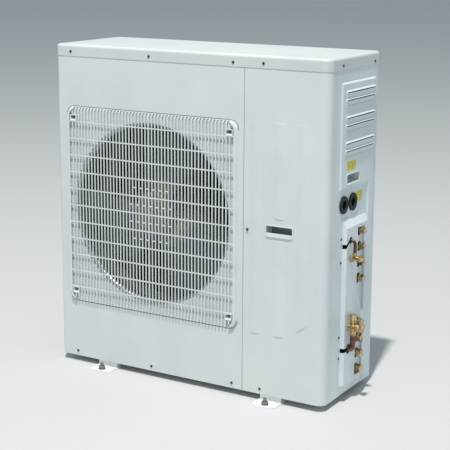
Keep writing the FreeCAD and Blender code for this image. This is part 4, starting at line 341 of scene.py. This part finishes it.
# %% Board
TRACKS_MM = 14
board, board_shader, board_place = new_material("Resist on glass fibre board", "#1F4A30",
                                                Roughness=0.35)
tracks = add(board, "ShaderNodeTexVoronoi",
             {"Scale": per_metre(TRACKS_MM), "distance": "MANHATTAN"}, {"Vector": board_place})
board_tint = stops(board, tracks.outputs["Distance"], (0.25, "#2F6A44"), (0.4, "#1B432B"))
board.node_tree.links.new(board_tint, board_shader.inputs["Base Color"])
print("board tracks every", TRACKS_MM, "mm")

# %% Film
film, film_shader, film_place = new_material("Polyester film, yellow", "#B9AD3E", Roughness=0.38)
fading = noise(film, film_place, feature_mm=6)
film_tint = stops(film, fading, (0.35, "#B2A733"), (0.65, "#E6D94E"))
film.node_tree.links.new(film_tint, film_shader.inputs["Base Color"])
relief(film, film_shader, noise(film, film_place, feature_mm=12), depth_mm=0.05)
print("film:", film.name)

# %% [markdown]
# ## Which piece has which finish
#
# Each node of the model keeps its mesh; only its material slot is filled. The grille
# and the side sheet are dressed too, though finer pieces take their place further on.

# %% Dress the nodes
FINISHES = {
    panel_enamel: "front_panel service_panel rear_panel corner_post",
    side_enamel: "side_panel",
    cover_enamel: "top_cover",
    frame_enamel: "foot_rail_left foot_rail_right base_pan",
    plate_enamel: "valve_plate",
    grille_white: "fan_grille coil_guard",
    grip_white: "service_grip side_grip",
    rubber: "cable_grommets tube_sleeves compressor_mounts",
    zinc: "bell_mouth partition_plate motor_bracket electrical_box electrical_lid "
          "coil_end_plate_left coil_end_plate_right accumulator_strap",
    turned_steel: "motor_shaft fan_nut compressor_nuts charge_port_caps",
    shell_black: "compressor accumulator reactor",
    fins: "condenser_coil",
    extruded_aluminium: "heat_sink",
    copper: "coil_return_bends discharge_pipe suction_pipe coil_gas_pipe service_gas_pipe "
            "liquid_pipe liquid_manifold gas_manifold liquid_valve_tube gas_valve_tube",
    brass: "four_way_valve expansion_valves liquid_ports gas_ports liquid_service_valve "
           "gas_service_valve",
    cap_brass: "flare_port_caps service_valve_caps",
    nylon_dark: "terminal_cover four_way_coil capacitors drain_outlet",
    nylon_cream: "terminal_block",
    board: "control_board",
    motor_cream: "fan_motor",
    fan_plastic: "fan",
}
dressed = set()
for material, names in FINISHES.items():
    for name in names.split():
        slots = frame["nodes"][name].data.materials
        slots.clear()
        slots.append(material)
        dressed.add(name)
print(len(dressed), "nodes dressed, bare:", sorted(set(frame["nodes"]) - dressed))

# %% [markdown]
# ## New pieces
#
# Small fasteners and plates are made with bmesh operators: a primitive is made at its
# place, and its edges are bevelled. The finished object sits at the origin, so that its
# patterns are laid out in the model's own coordinates.

# %% A finished piece and its place
FRONT = (0, -1, 0)
SIDE = (1, 0, 0)
UP = (0, 0, 1)


def finish_piece(shape, name, body, slot, *materials):
    """Turns a bmesh into an object that rides on a body."""
    mesh = bpy.data.meshes.new(name)
    shape.to_mesh(mesh)
    shape.free()
    for material in materials:
        mesh.materials.append(material)
    piece = bpy.data.objects.new(name, mesh)
    bpy.context.scene.collection.objects.link(piece)
    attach(piece, body)
    print(name, len(mesh.polygons), "faces")
    return piece


def facing(place, outward):
    """The matrix that stands a shape's Z along the outward direction at a place."""
    turn = Vector(UP).rotation_difference(Vector(outward)).to_matrix().to_4x4()
    return Matrix.Translation(place) @ turn


print("a shape's Z turned to the front is", [round(c) for c in facing((0, 0, 0), FRONT).col[2]])

# %% Discs and slabs
SAME_LEVEL = 0.001 * MM


def soften(shape, edges, width, segments=2):
    """Rounds edges off by a bevel of this width."""
    bmesh.ops.bevel(shape, geom=edges, offset=width, offset_type="OFFSET", affect="EDGES",
                    segments=segments, profile=0.5, material=-1)


def disc(shape, at, diameter, thickness, segments, rounding, material=0):
    """A cylinder that stands on its place, with its outer rim rounded."""
    made = bmesh.ops.create_cone(shape, cap_ends=True, segments=segments, radius1=diameter / 2,
                                 radius2=diameter / 2, depth=thickness,
                                 matrix=at @ Matrix.Translation((0, 0, thickness / 2)))
    for face in {face for vert in made["verts"] for face in vert.link_faces}:
        face.material_index = material
    top = at @ Vector((0, 0, thickness))
    up = (at.to_3x3() @ Vector(UP)).normalized()
    rim = [edge for edge in {edge for vert in made["verts"] for edge in vert.link_edges}
           if all(abs((vert.co - top).dot(up)) < SAME_LEVEL for vert in edge.verts)]
    soften(shape, rim, rounding, segments=3)


def slab(shape, at, size, rounding=0.0, material=0):
    """A block that stands on its place, with all its edges rounded if asked."""
    middle = Matrix.Translation((0, 0, size[2] / 2))
    made = bmesh.ops.create_cube(shape, size=1.0, matrix=at @ middle @ Matrix.Diagonal((*size, 1)))
    for face in {face for vert in made["verts"] for face in vert.link_faces}:
        face.material_index = material
    if rounding:
        soften(shape, list({edge for vert in made["verts"] for edge in vert.link_edges}), rounding)


print("helpers for pieces ready")

# %% [markdown]
# ## Panel screws
#
# The sheets are held by pan-head screws with a cross recess, 8 mm over the head. The
# recess is painted shade: a pair of dark bars that stand a hair above the head, because
# a cut that small would only show as dark shade anyway.

# %% One screw
SCREW_HEAD = 8 * MM
SCREW_RISE = 1.8 * MM
SCREW_ROUNDING = 0.6 * MM
RECESS = (4.4 * MM, 0.9 * MM, 0.15 * MM)
RECESS_SINK = 0.1 * MM


def screw(shape, place, outward, turn_degrees):
    """A pan head at a place; its recess is painted shade in the second material."""
    at = facing(place, outward) @ Matrix.Rotation(math.radians(turn_degrees), 4, "Z")
    disc(shape, at, SCREW_HEAD, SCREW_RISE, segments=20, rounding=SCREW_ROUNDING)
    # Painted shade: the two dark bars of the recess.
    for quarter in (0, 90):
        slab(shape, at @ Matrix.Translation((0, 0, SCREW_RISE - RECESS_SINK))
             @ Matrix.Rotation(math.radians(quarter), 4, "Z"), RECESS, material=1)


# %% [markdown]
# Their places are read off the photograph, in millimetres from the left wall and from
# the lower edge of the front sheet. Those on the side are measured from the front. A
# screw driven home stops at any turn, so a row's heads turn on from one to the next,
# and those of the valve plate's flange take the number of their height as degrees.

# %% Screws of the sheets, the cover and the valve plate
panel_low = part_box("front_panel")[0]
cover_low, cover_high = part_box("top_cover")
LEFT = panel_low.x
FRONT_FACE = panel_low.y
FOOT = panel_low.z
SCREWS_FRONT = ((61, 16), (345.5, 15), (635, 16), (731, 15.6))
SCREWS_COVER = ((55, 978), (344, 977), (634, 976), (732.6, 977.6))
SCREWS_COVER_SIDE = ((79, 976), (293, 972))
SCREW_SERVICE = (685, 495)
SCREWS_FLANGE = ((92, 478), (92, 409), (92, 184), (92, 120))
FLANGE_FACE = 471.3 * MM
FRONT_TURN, COVER_TURN, COVER_SIDE_TURN, SERVICE_TURN = 17, 23, 31, 40
screws = bmesh.new()
for number, (across, up) in enumerate(SCREWS_FRONT):
    screw(screws, (LEFT + across * MM, FRONT_FACE, FOOT + up * MM), FRONT,
          number * FRONT_TURN)
for number, (across, up) in enumerate(SCREWS_COVER):
    screw(screws, (LEFT + across * MM, cover_low.y, FOOT + up * MM), FRONT,
          number * COVER_TURN)
for number, (deep, up) in enumerate(SCREWS_COVER_SIDE):
    screw(screws, (cover_high.x, FRONT_FACE + deep * MM, FOOT + up * MM), SIDE,
          number * COVER_SIDE_TURN)
across, up = SCREW_SERVICE
screw(screws, (LEFT + across * MM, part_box("service_panel")[0].y, FOOT + up * MM), FRONT,
      SERVICE_TURN)
for deep, up in SCREWS_FLANGE:
    screw(screws, (FLANGE_FACE, FRONT_FACE + deep * MM, FOOT + up * MM), SIDE, up)
# Black nylon here is the painted shade of the screws' recesses.
finish_piece(screws, "panel_screws", "cabinet", "steel_bar", screw_steel, nylon_dark)

# %% [markdown]
# ## Louvres of the side
#
# Three pairs of louvres are pressed out of the side sheet. Each has a short steep lip
# that catches the light from above, a narrow slit under it, and a long face that falls
# back to the sheet. The solid's hoods are plain wedges, so a copy of its mesh is merged
# and the hoods' lower edges are drawn up and in to make the lips. The long faces and the
# ledge that ends each pair are plates.

# %% Lips in a copy of the side sheet
PRESSING_FACE = 474 * MM
LIP_SHIFT = (-1.5 * MM, 0, 10.5 * MM)
hood_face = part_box("side_panel")[1].x
wall = bmesh.new()
wall.from_mesh(frame["nodes"]["side_panel"].data)
bmesh.ops.remove_doubles(wall, verts=wall.verts, dist=0.01 * MM)
lips = [vert for vert in wall.verts if vert.co.x > PRESSING_FACE + MM]
bmesh.ops.translate(wall, verts=lips, vec=LIP_SHIFT)
print(len(lips), "corners moved, from", round(hood_face / MM, 1), "mm to",
      round(max(vert.co.x for vert in wall.verts) / MM, 1), "mm")

# %% Long faces and ledges
LOUVRE_GROUPS = 3
LOUVRE_TOP = FOOT + 905 * MM
LOUVRE_GROUP = 72.8 * MM
LOUVRE_PAIR = 22 * MM
LOUVRE_LONG = 188 * MM
LOUVRE_MIDDLE = FRONT_FACE + 194 * MM
LONG_FACE = (14.2 * MM, LOUVRE_LONG, 1.0 * MM)
LONG_FACE_X = PRESSING_FACE + 0.4 * MM
LONG_FACE_DROP = 15 * MM
LONG_FACE_LEAN = Matrix.Rotation(math.radians(9.7), 4, "Y") @ facing((0, 0, 0), SIDE)
LEDGE = (2.6 * MM, LOUVRE_LONG, 1.8 * MM)
LEDGE_X = PRESSING_FACE - 0.2 * MM
LEDGE_DROP = 23.4 * MM
LEDGE_ROUNDING = 0.6 * MM
for group in range(LOUVRE_GROUPS):
    for place in range(2):
        top = LOUVRE_TOP - group * LOUVRE_GROUP - place * LOUVRE_PAIR
        slab(wall, Matrix.Translation((LONG_FACE_X, LOUVRE_MIDDLE, top - LONG_FACE_DROP))
             @ LONG_FACE_LEAN, LONG_FACE)
    slab(wall, facing((LEDGE_X, LOUVRE_MIDDLE, top - LEDGE_DROP), SIDE), LEDGE, LEDGE_ROUNDING)
louvred_wall = finish_piece(wall, "louvred_side", "cabinet", "painted_sheet", side_enamel)
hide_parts("side_panel")

# %% [markdown]
# ## Front grille
#
# The grille is one moulding that stands 8 mm off the sheet: 48 upright bars and a wider
# one in the middle fold back over its top and bottom, and 11 rods tie them. The model's
# solid is plainer and coarser; here bars and rods are as fine as the real ones. The
# frame starts as a flat rectangle with rounded corners. Insets raise the face, and the
# long walls above and below are taken out, because the bars are the wall there. All of
# it is made flat, with X across, Y up and Z outward, then turned.

# %% A rounded rectangle to start from


def rounded_plate(shape, wide, tall, corner, segments):
    """A flat rectangle in the middle of its plane, with round corners; gives its face."""
    others = set(shape.faces)
    corners = bmesh.ops.create_grid(shape, x_segments=1, y_segments=1, size=0.5)["verts"]
    bmesh.ops.scale(shape, vec=(wide, tall, 1), verts=corners)
    bmesh.ops.bevel(shape, geom=corners, offset=corner, offset_type="OFFSET",
                    affect="VERTICES", segments=segments, profile=0.5, material=-1)
    return next(face for face in shape.faces if face not in others)


def inset(shape, face, inward, rise=0.0):
    """Insets a face, lifts it by the rise, and gives the ring of faces round it."""
    return bmesh.ops.inset_region(shape, faces=[face], use_boundary=True, use_even_offset=True,
                                  thickness=inward, depth=rise)["faces"]


# %% Frame of the grille
GRILLE_STAND = 8 * MM
GRILLE_SLOPE = 5 * MM
GRILLE_CORNER = 26 * MM
CORNER_FACETS = 6
GRILLE_GAUGE = 2 * MM
RIM_DRAFT = 1.2 * MM
RIM_HEIGHT = 1.5 * MM
BORDER = 6 * MM
grille_low, grille_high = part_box("fan_grille")
grille_middle = (grille_low + grille_high) / 2
half_wide = (grille_high.x - grille_low.x) / 2
half_tall = (grille_high.z - grille_low.z) / 2
grille = bmesh.new()
face = rounded_plate(grille, 2 * half_wide, 2 * half_tall, GRILLE_CORNER, CORNER_FACETS)
inset(grille, face, RIM_DRAFT, RIM_HEIGHT)
slope = inset(grille, face, GRILLE_SLOPE - RIM_DRAFT, GRILLE_STAND - RIM_HEIGHT)
border = inset(grille, face, BORDER)
open_walls = [part for part in slope + border if abs(part.calc_center_median().x) < MM]
bmesh.ops.delete(grille, geom=[face, *open_walls], context="FACES")
bmesh.ops.solidify(grille, geom=grille.faces[:], thickness=GRILLE_GAUGE)
print("frame", len(grille.faces), "faces, rises to",
      round(max(vert.co.z for vert in grille.verts) / MM, 1), "mm, down to",
      round(min(vert.co.z for vert in grille.verts) / MM, 1), "mm")

# %% [markdown]
# A bar starts as a chain of points from rim to rim. The chain is swept sideways into a
# strip, its bends are rounded, and the strip gets its thickness. Where a bar would run
# through a boss of a corner it is made in three lengths, so that the boss stays open.

# %% One bar
BAR_DEPTH = 3.4 * MM
BAR_BEND = 2.4 * MM


def bar(shape, across, width, path):
    """A flat bar along a path of (up, out) points, rounded where it bends."""
    others = set(shape.faces)
    chain = [shape.verts.new((across - width / 2, up, out)) for up, out in path]
    edges = [shape.edges.new(pair) for pair in zip(chain, chain[1:])]
    swept = bmesh.ops.extrude_edge_only(shape, edges=edges)["geom"]
    far = [part for part in swept if isinstance(part, bmesh.types.BMVert)]
    bmesh.ops.translate(shape, verts=far, vec=(width, 0, 0))
    strip = [part for part in swept if isinstance(part, bmesh.types.BMFace)]
    bmesh.ops.recalc_face_normals(shape, faces=strip)
    if strip[0].normal.z < 0:
        bmesh.ops.reverse_faces(shape, faces=strip)
    bends = [edge for edge in {edge for face in strip for edge in face.edges}
             if len(edge.link_faces) == 2]
    if bends:
        bmesh.ops.bevel(shape, geom=bends, offset=BAR_BEND, offset_type="OFFSET",
                        affect="EDGES", segments=3, profile=0.5, material=-1)
    bmesh.ops.solidify(shape, geom=[face for face in shape.faces if face not in others],
                       thickness=BAR_DEPTH)


# %% Bars
BAR_PITCH = 11.8 * MM
BAR_WIDTH = 3.1 * MM
MIDDLE_BAR_WIDTH = 4.2 * MM
BARS_EACH_SIDE = 24
BOSS = (24 * MM, 20 * MM)
BOSS_ACROSS = 281 * MM
BOSS_UP = 276 * MM
BAR_IN_BOSS = 1 * MM
bar_top = half_tall - GRILLE_SLOPE
top_end = ((bar_top, GRILLE_STAND), (half_tall - GRILLE_GAUGE, RIM_HEIGHT))
low_end = tuple((-up, out) for up, out in reversed(top_end))
below = BOSS_UP - BOSS[1] / 2 + BAR_IN_BOSS
above = BOSS_UP + BOSS[1] / 2 - BAR_IN_BOSS
whole = ((*low_end, *top_end),)
parted = ((*low_end, (-above, GRILLE_STAND)),
          ((-below, GRILLE_STAND), (below, GRILLE_STAND)),
          ((above, GRILLE_STAND), *top_end))
for number in range(-BARS_EACH_SIDE, BARS_EACH_SIDE + 1):
    meets_boss = abs(abs(number) * BAR_PITCH - BOSS_ACROSS) < BOSS[0] / 2
    for path in parted if meets_boss else whole:
        bar(grille, number * BAR_PITCH, BAR_WIDTH if number else MIDDLE_BAR_WIDTH, path)
print("bars done,", len(grille.faces), "faces")

# %% [markdown]
# The rods are blocks let into the bars from behind. Round the middle, short links join
# the bars two by two, in four rows that lie halfway between the rods and are staggered.
# A row gives its level in rod pitches, its first link in bar pitches, and their number.

# %% Rods and links
RODS_EACH_SIDE = 5
ROD_PITCH = 52.9 * MM
ROD_SIZE = (2 * (half_wide - GRILLE_SLOPE - BORDER), 3.4 * MM, 2.4 * MM)
ROD_FOOT = GRILLE_STAND - 1.2 * MM - ROD_SIZE[2]
LINK = (8.6 * MM, 3.0 * MM, 2.4 * MM)
LINK_FOOT = GRILLE_STAND - 0.6 * MM - LINK[2]
LINK_ROWS = ((-1.5, -4.5, 6), (1.5, -4.5, 6), (-0.5, -5.5, 7), (0.5, -5.5, 7))
for number in range(-RODS_EACH_SIDE, RODS_EACH_SIDE + 1):
    slab(grille, Matrix.Translation((0, number * ROD_PITCH, ROD_FOOT)), ROD_SIZE)
for row, first, count in LINK_ROWS:
    for number in range(count):
        slab(grille, Matrix.Translation(((first + 2 * number) * BAR_PITCH, row * ROD_PITCH,
                                         LINK_FOOT)), LINK)
print("grille now", len(grille.faces), "faces")

# %% [markdown]
# Each corner has a boss with a pocket for its screw. High light leaves the pocket dark
# under its top edge and bright on its sill, so the pocket is real: the boss's front is
# inset once for its wall and once more, almost straight in, for the depth. Raising the
# lower edge of the pocket's floor makes the sill a slope. A zinc clip lies on that
# floor, under the screw.

# %% Corner bosses
BOSS_WALL = 2.5 * MM
BOSS_POCKET = 6.5 * MM
POCKET_DRAFT = 0.3 * MM
BOSS_FRONT = GRILLE_STAND + 0.3 * MM
SCOOP = 5 * MM
boss_places = [(across, up) for across in (-BOSS_ACROSS, BOSS_ACROSS)
               for up in (-BOSS_UP, BOSS_UP)]
for across, up in boss_places:
    block = bmesh.ops.create_cube(grille, size=1.0, matrix=Matrix.Translation(
        (across, up, BOSS_FRONT / 2)) @ Matrix.Diagonal((*BOSS, BOSS_FRONT, 1)))
    front = next(face for face in {face for vert in block["verts"] for face in vert.link_faces}
                 if face.normal.z > 0.9)
    inset(grille, front, BOSS_WALL)
    inset(grille, front, POCKET_DRAFT, -BOSS_POCKET)
    lower = sorted(front.verts, key=lambda vert: vert.co.y)[:2]
    bmesh.ops.translate(grille, verts=lower, vec=(0, SCOOP, 0))
print(len(boss_places), "bosses, pockets", BOSS_POCKET / MM, "mm deep")

# %% Put the grille in its place
grille_place = (grille_middle.x, grille_high.y, grille_middle.z)
bmesh.ops.transform(grille, matrix=facing(grille_place, FRONT), verts=grille.verts)
grille_piece = finish_piece(grille, "front_grille", "cabinet", "moulded_white", grille_white)
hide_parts("fan_grille")

# %% Screws and clips in the bosses
CLIP = (17 * MM, 8.5 * MM, 0.8 * MM)
CLIP_SCREW_TURN = 35
pocket_floor = grille_high.y - (BOSS_FRONT - BOSS_POCKET)
boss_screws = bmesh.new()
for across, up in boss_places:
    seat = (grille_middle.x + across, pocket_floor, grille_middle.z + up + SCOOP / 2)
    screw(boss_screws, seat, FRONT, CLIP_SCREW_TURN)
    slab(boss_screws, facing(seat, FRONT), CLIP, material=2)
# Black nylon here is the painted shade of the screws' recesses.
finish_piece(boss_screws, "grille_screws", "cabinet", "steel_bar", screw_steel, nylon_dark,
             plated_bolt)

# %% [markdown]
# ## Rims and painted shade of the hand holes
#
# The hand holes are moulded cups. A pale rim rings each mouth and stands a little off
# the sheet, with a thicker sill below, where the fingers pull. Grey sheets on the back
# wall and the ceiling are painted shade, so that the holes read as deep. A rim is a
# rounded rectangle, inset once and opened; sills and shade sheets are plates.

# %% Rims and sills of the grips
RIM_RING = 2.6 * MM
RIM_STAND = 1.4 * MM
RIM_CORNER = 6 * MM
RIM_FACETS = 4
GRIP_PROUD = 3 * MM
FRONT_MOUTH = (86 * MM, 31 * MM)
SIDE_MOUTH = (28 * MM, 84 * MM)
FRONT_SILL = (86 * MM, 9 * MM, 2.0 * MM)
FRONT_SILL_DROP = Vector((0, 0, 9.5 * MM))
SIDE_SILL = (4 * MM, 80 * MM, 3.4 * MM)
SIDE_SILL_DROP = Vector((0, 0, 14 * MM))
rims = bmesh.new()


def rim_ring(shape, at, wide, tall):
    """A flat ring round a mouth of this size, standing on the sheet."""
    others = set(shape.faces)
    outline = rounded_plate(shape, wide + 2 * RIM_RING, tall + 2 * RIM_RING, RIM_CORNER,
                            RIM_FACETS)
    inset(shape, outline, RIM_RING)
    bmesh.ops.delete(shape, geom=[outline], context="FACES")
    bmesh.ops.solidify(shape, geom=[face for face in shape.faces if face not in others],
                       thickness=-RIM_STAND)
    ring = {vert for face in shape.faces if face not in others for vert in face.verts}
    bmesh.ops.transform(shape, matrix=at, verts=list(ring))


front_low, front_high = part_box("service_grip")
side_low, side_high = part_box("side_grip")
front_grip = Vector(((front_low.x + front_high.x) / 2, front_low.y + GRIP_PROUD,
                     (front_low.z + front_high.z) / 2))
side_grip = Vector((side_high.x - GRIP_PROUD, (side_low.y + side_high.y) / 2,
                    (side_low.z + side_high.z) / 2))
rim_ring(rims, facing(front_grip, FRONT), *FRONT_MOUTH)
rim_ring(rims, facing(side_grip, SIDE), *SIDE_MOUTH)
slab(rims, facing(front_grip - FRONT_SILL_DROP, FRONT), FRONT_SILL, rounding=0.9 * MM)
slab(rims, facing(side_grip - SIDE_SILL_DROP, SIDE), SIDE_SILL, rounding=1.4 * MM)
finish_piece(rims, "grip_rims", "cabinet", "moulded_pale", grip_white)

# %% Painted shade in the grips
# Painted shade: grey sheets on the back wall and ceiling of each cup, darker in the front grip and lighter in the
# side one.
grip_painted_shade = moulded("Painted shade in grip cups, grey", "#7C8786", "#6A7574", 0.60)
side_grip_painted_shade = moulded("Painted shade in side grip cup, light grey", "#C3CACC", "#B4BDBF", 0.55)
SHADE_SHEET = 0.6 * MM
CUP_WALL = 1.6 * MM
CUP_CEILING = 7.4 * MM
CUP_WIDE, CUP_TALL, CUP_DEEP = 76 * MM, 25 * MM, 24 * MM
SIDE_CUP_TALL = 23 * MM
SHADE_SHEET_RISE = 1 * MM
shade_sheets = bmesh.new()
back = front_high.y - CUP_WALL
slab(shade_sheets, facing((front_grip.x, back, front_grip.z + SHADE_SHEET_RISE), FRONT),
     (CUP_WIDE, CUP_TALL, SHADE_SHEET))
slab(shade_sheets, Matrix.Translation((front_grip.x, back - CUP_DEEP / 2, front_high.z - CUP_CEILING)),
     (CUP_WIDE, CUP_DEEP, SHADE_SHEET))
back = side_low.x + CUP_WALL
slab(shade_sheets, facing((back, side_grip.y, side_grip.z + SHADE_SHEET_RISE), SIDE),
     (SIDE_CUP_TALL, CUP_WIDE, SHADE_SHEET), material=1)
slab(shade_sheets, Matrix.Translation((back + CUP_DEEP / 2, side_grip.y, side_high.z - CUP_CEILING)),
     (CUP_DEEP, CUP_WIDE, SHADE_SHEET), material=1)
finish_piece(shade_sheets, "grip_shade_sheets", "cabinet", "moulded_pale", grip_painted_shade, side_grip_painted_shade)

# %% [markdown]
# ## Painted shade in the gaps
#
# The two front sheets meet in an upright joint, and the grille's rim stands a little off
# the sheet above and below; at this distance both gaps are thin grey lines of shade.
# Grey strips that stand a hair proud paint that shade. Under the grille the strip also
# lies in real shade and is darker.

# %% Painted shade strips in the seam and at the foot of the grille
SEAM_STRIP = 1.2 * MM
SEAM_ENDS = 4 * MM
FOOT_STRIP = 2.6 * MM
SHADE_STRIP_STAND = 0.3 * MM
# Painted shade: grey strips stand in the seam and under the grille's rim, where there are only shaded gaps.
gap_shade_paint = moulded("Painted gap shade, grey", "#8F9698", "#7F8688", 0.85, grain_mm=1.0,
               depth_mm=0.05)
service_low, service_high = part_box("service_panel")
strip = bmesh.new()
face = rounded_plate(strip, 2 * (half_wide + FOOT_STRIP), 2 * (half_tall + FOOT_STRIP),
                     GRILLE_CORNER + FOOT_STRIP, CORNER_FACETS)
ring = inset(strip, face, FOOT_STRIP + RIM_DRAFT / 2)
upright = [part for part in ring if abs(part.calc_center_median().y) < MM]
bmesh.ops.delete(strip, geom=[face, *upright], context="FACES")
bmesh.ops.solidify(strip, geom=strip.faces[:], thickness=-SHADE_STRIP_STAND)
bmesh.ops.transform(strip, matrix=facing(grille_place, FRONT), verts=strip.verts)
slab(strip, facing((service_low.x, grille_high.y, (service_low.z + service_high.z) / 2), FRONT),
     (SEAM_STRIP, service_high.z - service_low.z - SEAM_ENDS, SHADE_STRIP_STAND))
finish_piece(strip, "gap_shade_strips", "cabinet", "black_rubber", gap_shade_paint)

# %% [markdown]
# ## Stickers
#
# Two small stickers stand on the side: one above the grip, one beside the grommets.
# They are left blank. A row below gives the face they stick to, their place in
# millimetres from the front and from the sheet's lower edge, and their width and height.

# %% Blank stickers on the side
SHEET_FACE = 470 * MM
STICKER_GAUGE = 0.3 * MM
STICKERS = ((PRESSING_FACE, 143.5, 687, 56, 26), (SHEET_FACE, 206, 588, 44, 30))
stickers = bmesh.new()
for sheet, deep, up, wide, tall in STICKERS:
    slab(stickers, facing((sheet, FRONT_FACE + deep * MM, FOOT + up * MM), SIDE)
         @ Matrix.Rotation(math.radians(90), 4, "Z"), (wide * MM, tall * MM, STICKER_GAUGE))
finish_piece(stickers, "side_stickers", "cabinet", "moulded_pale", film)

# %% [markdown]
# ## Anchor bolts
#
# The unit is held down by four M10 anchors through the foot slots. Each is a thread
# with a washer and a nut. The thread is too fine for the picture, so a plain rod does.
# A nut is a disc of six sides, whose diameter is its width over the corners.

# %% Anchor bolts in the foot slots
WASHER = (22 * MM, 2 * MM)
NUT_FLATS = 17 * MM
NUT = (NUT_FLATS * 2 / math.sqrt(3), 8.4 * MM)
ROD = (10 * MM, 23 * MM)
ROD_CLEAR = 0.2 * MM
STRAP = 3 * MM
slots_at = frame["record"]["mounts"][0]["dims"]
half_across = slots_at["spacing_x_mm"] * MM / 2
half_deep = slots_at["spacing_y_mm"] * MM / 2
bolts = bmesh.new()
for across in (-half_across, half_across):
    for deep in (-half_deep, half_deep):
        disc(bolts, facing((across, deep, STRAP), UP), *WASHER, segments=32,
             rounding=0.4 * MM)
        disc(bolts, facing((across, deep, STRAP + WASHER[1]), UP), *NUT, segments=6,
             rounding=0.8 * MM)
        disc(bolts, facing((across, deep, ROD_CLEAR), UP), *ROD, segments=20,
             rounding=1.0 * MM)
finish_piece(bolts, "anchor_bolts", "cabinet", "steel_bar", plated_bolt)

# %% [markdown]
# ## Floor, light and camera
#
# A pale floor, wide enough to hide its own edge, carries the shadow. The world gives
# about half of the light, evenly. The key lamp stands high in front and to the right.
# Its height makes the louvres' lips shine, its small size lets the grille's bars throw
# stripes on the sheet, and from so far off it lights top and bottom nearly alike. The
# photograph was taken from the front right, a little above the unit, with a long lens.

# %% Floor
FLOOR_HALF = 60.0
floor_material = new_material("Pale studio floor", "#C6C8CA", Roughness=0.9)[0]
ground = bmesh.new()
bmesh.ops.create_grid(ground, x_segments=1, y_segments=1, size=FLOOR_HALF)
mesh = bpy.data.meshes.new("floor")
ground.to_mesh(mesh)
ground.free()
mesh.materials.append(floor_material)
floor = bpy.data.objects.new("floor", mesh)
bpy.context.scene.collection.objects.link(floor)
print("floor", 2 * FLOOR_HALF, "m wide")

# %% World
WORLD_STRENGTH = 0.605
world = bpy.data.worlds.new("Soft studio")
bpy.context.scene.world = world
world.use_nodes = True
sky = world.node_tree.nodes["Background"]
sky.inputs["Color"].default_value = colour("#D8E6EB")
sky.inputs["Strength"].default_value = WORLD_STRENGTH
print("world strength", WORLD_STRENGTH)

# %% Key lamp
KEY_PLACE = Vector((1.21, -2.99, 8.90))
KEY_AIM = Vector((0, 0, 0.5))
KEY_SIZE = 0.3
KEY_WATTS = 910
key_data = bpy.data.lights.new("key", "AREA")
key_data.size = KEY_SIZE
key_data.energy = KEY_WATTS
key_data.color = colour("#FFF9F2")[:3]
key = bpy.data.objects.new("key", key_data)
key.location = KEY_PLACE
key.rotation_mode = "QUATERNION"
key.rotation_quaternion = (KEY_AIM - KEY_PLACE).to_track_quat("-Z", "Y")
bpy.context.scene.collection.objects.link(key)
print("key lamp", round((KEY_AIM - KEY_PLACE).length, 1), "m away")

# %% Camera
FOCAL_PX = 1236.6
IMAGE_PX = 450
SENSOR_MM = 36
CAMERA_SHIFT = -0.05
CAMERA_PLACE = (1.9429, -3.1981, 1.3333)
AZIMUTH, ELEVATION, ROLL = (math.radians(degrees) for degrees in (30.744, 11.961, 0.317))
camera_data = bpy.data.cameras.new("camera")
camera_data.sensor_width = SENSOR_MM
camera_data.lens = FOCAL_PX / IMAGE_PX * SENSOR_MM
camera_data.shift_y = CAMERA_SHIFT
camera = bpy.data.objects.new("camera", camera_data)
forward = Vector((-math.sin(AZIMUTH) * math.cos(ELEVATION), math.cos(AZIMUTH) * math.cos(ELEVATION),
                  -math.sin(ELEVATION)))
camera.location = CAMERA_PLACE
camera.rotation_mode = "QUATERNION"
camera.rotation_quaternion = forward.to_track_quat("-Z", "Y") @ Quaternion((0, 0, 1), ROLL)
bpy.context.scene.collection.objects.link(camera)
bpy.context.scene.camera = camera
bpy.context.scene.view_settings.view_transform = "Standard"
print("camera", round(camera_data.lens, 1), "mm")
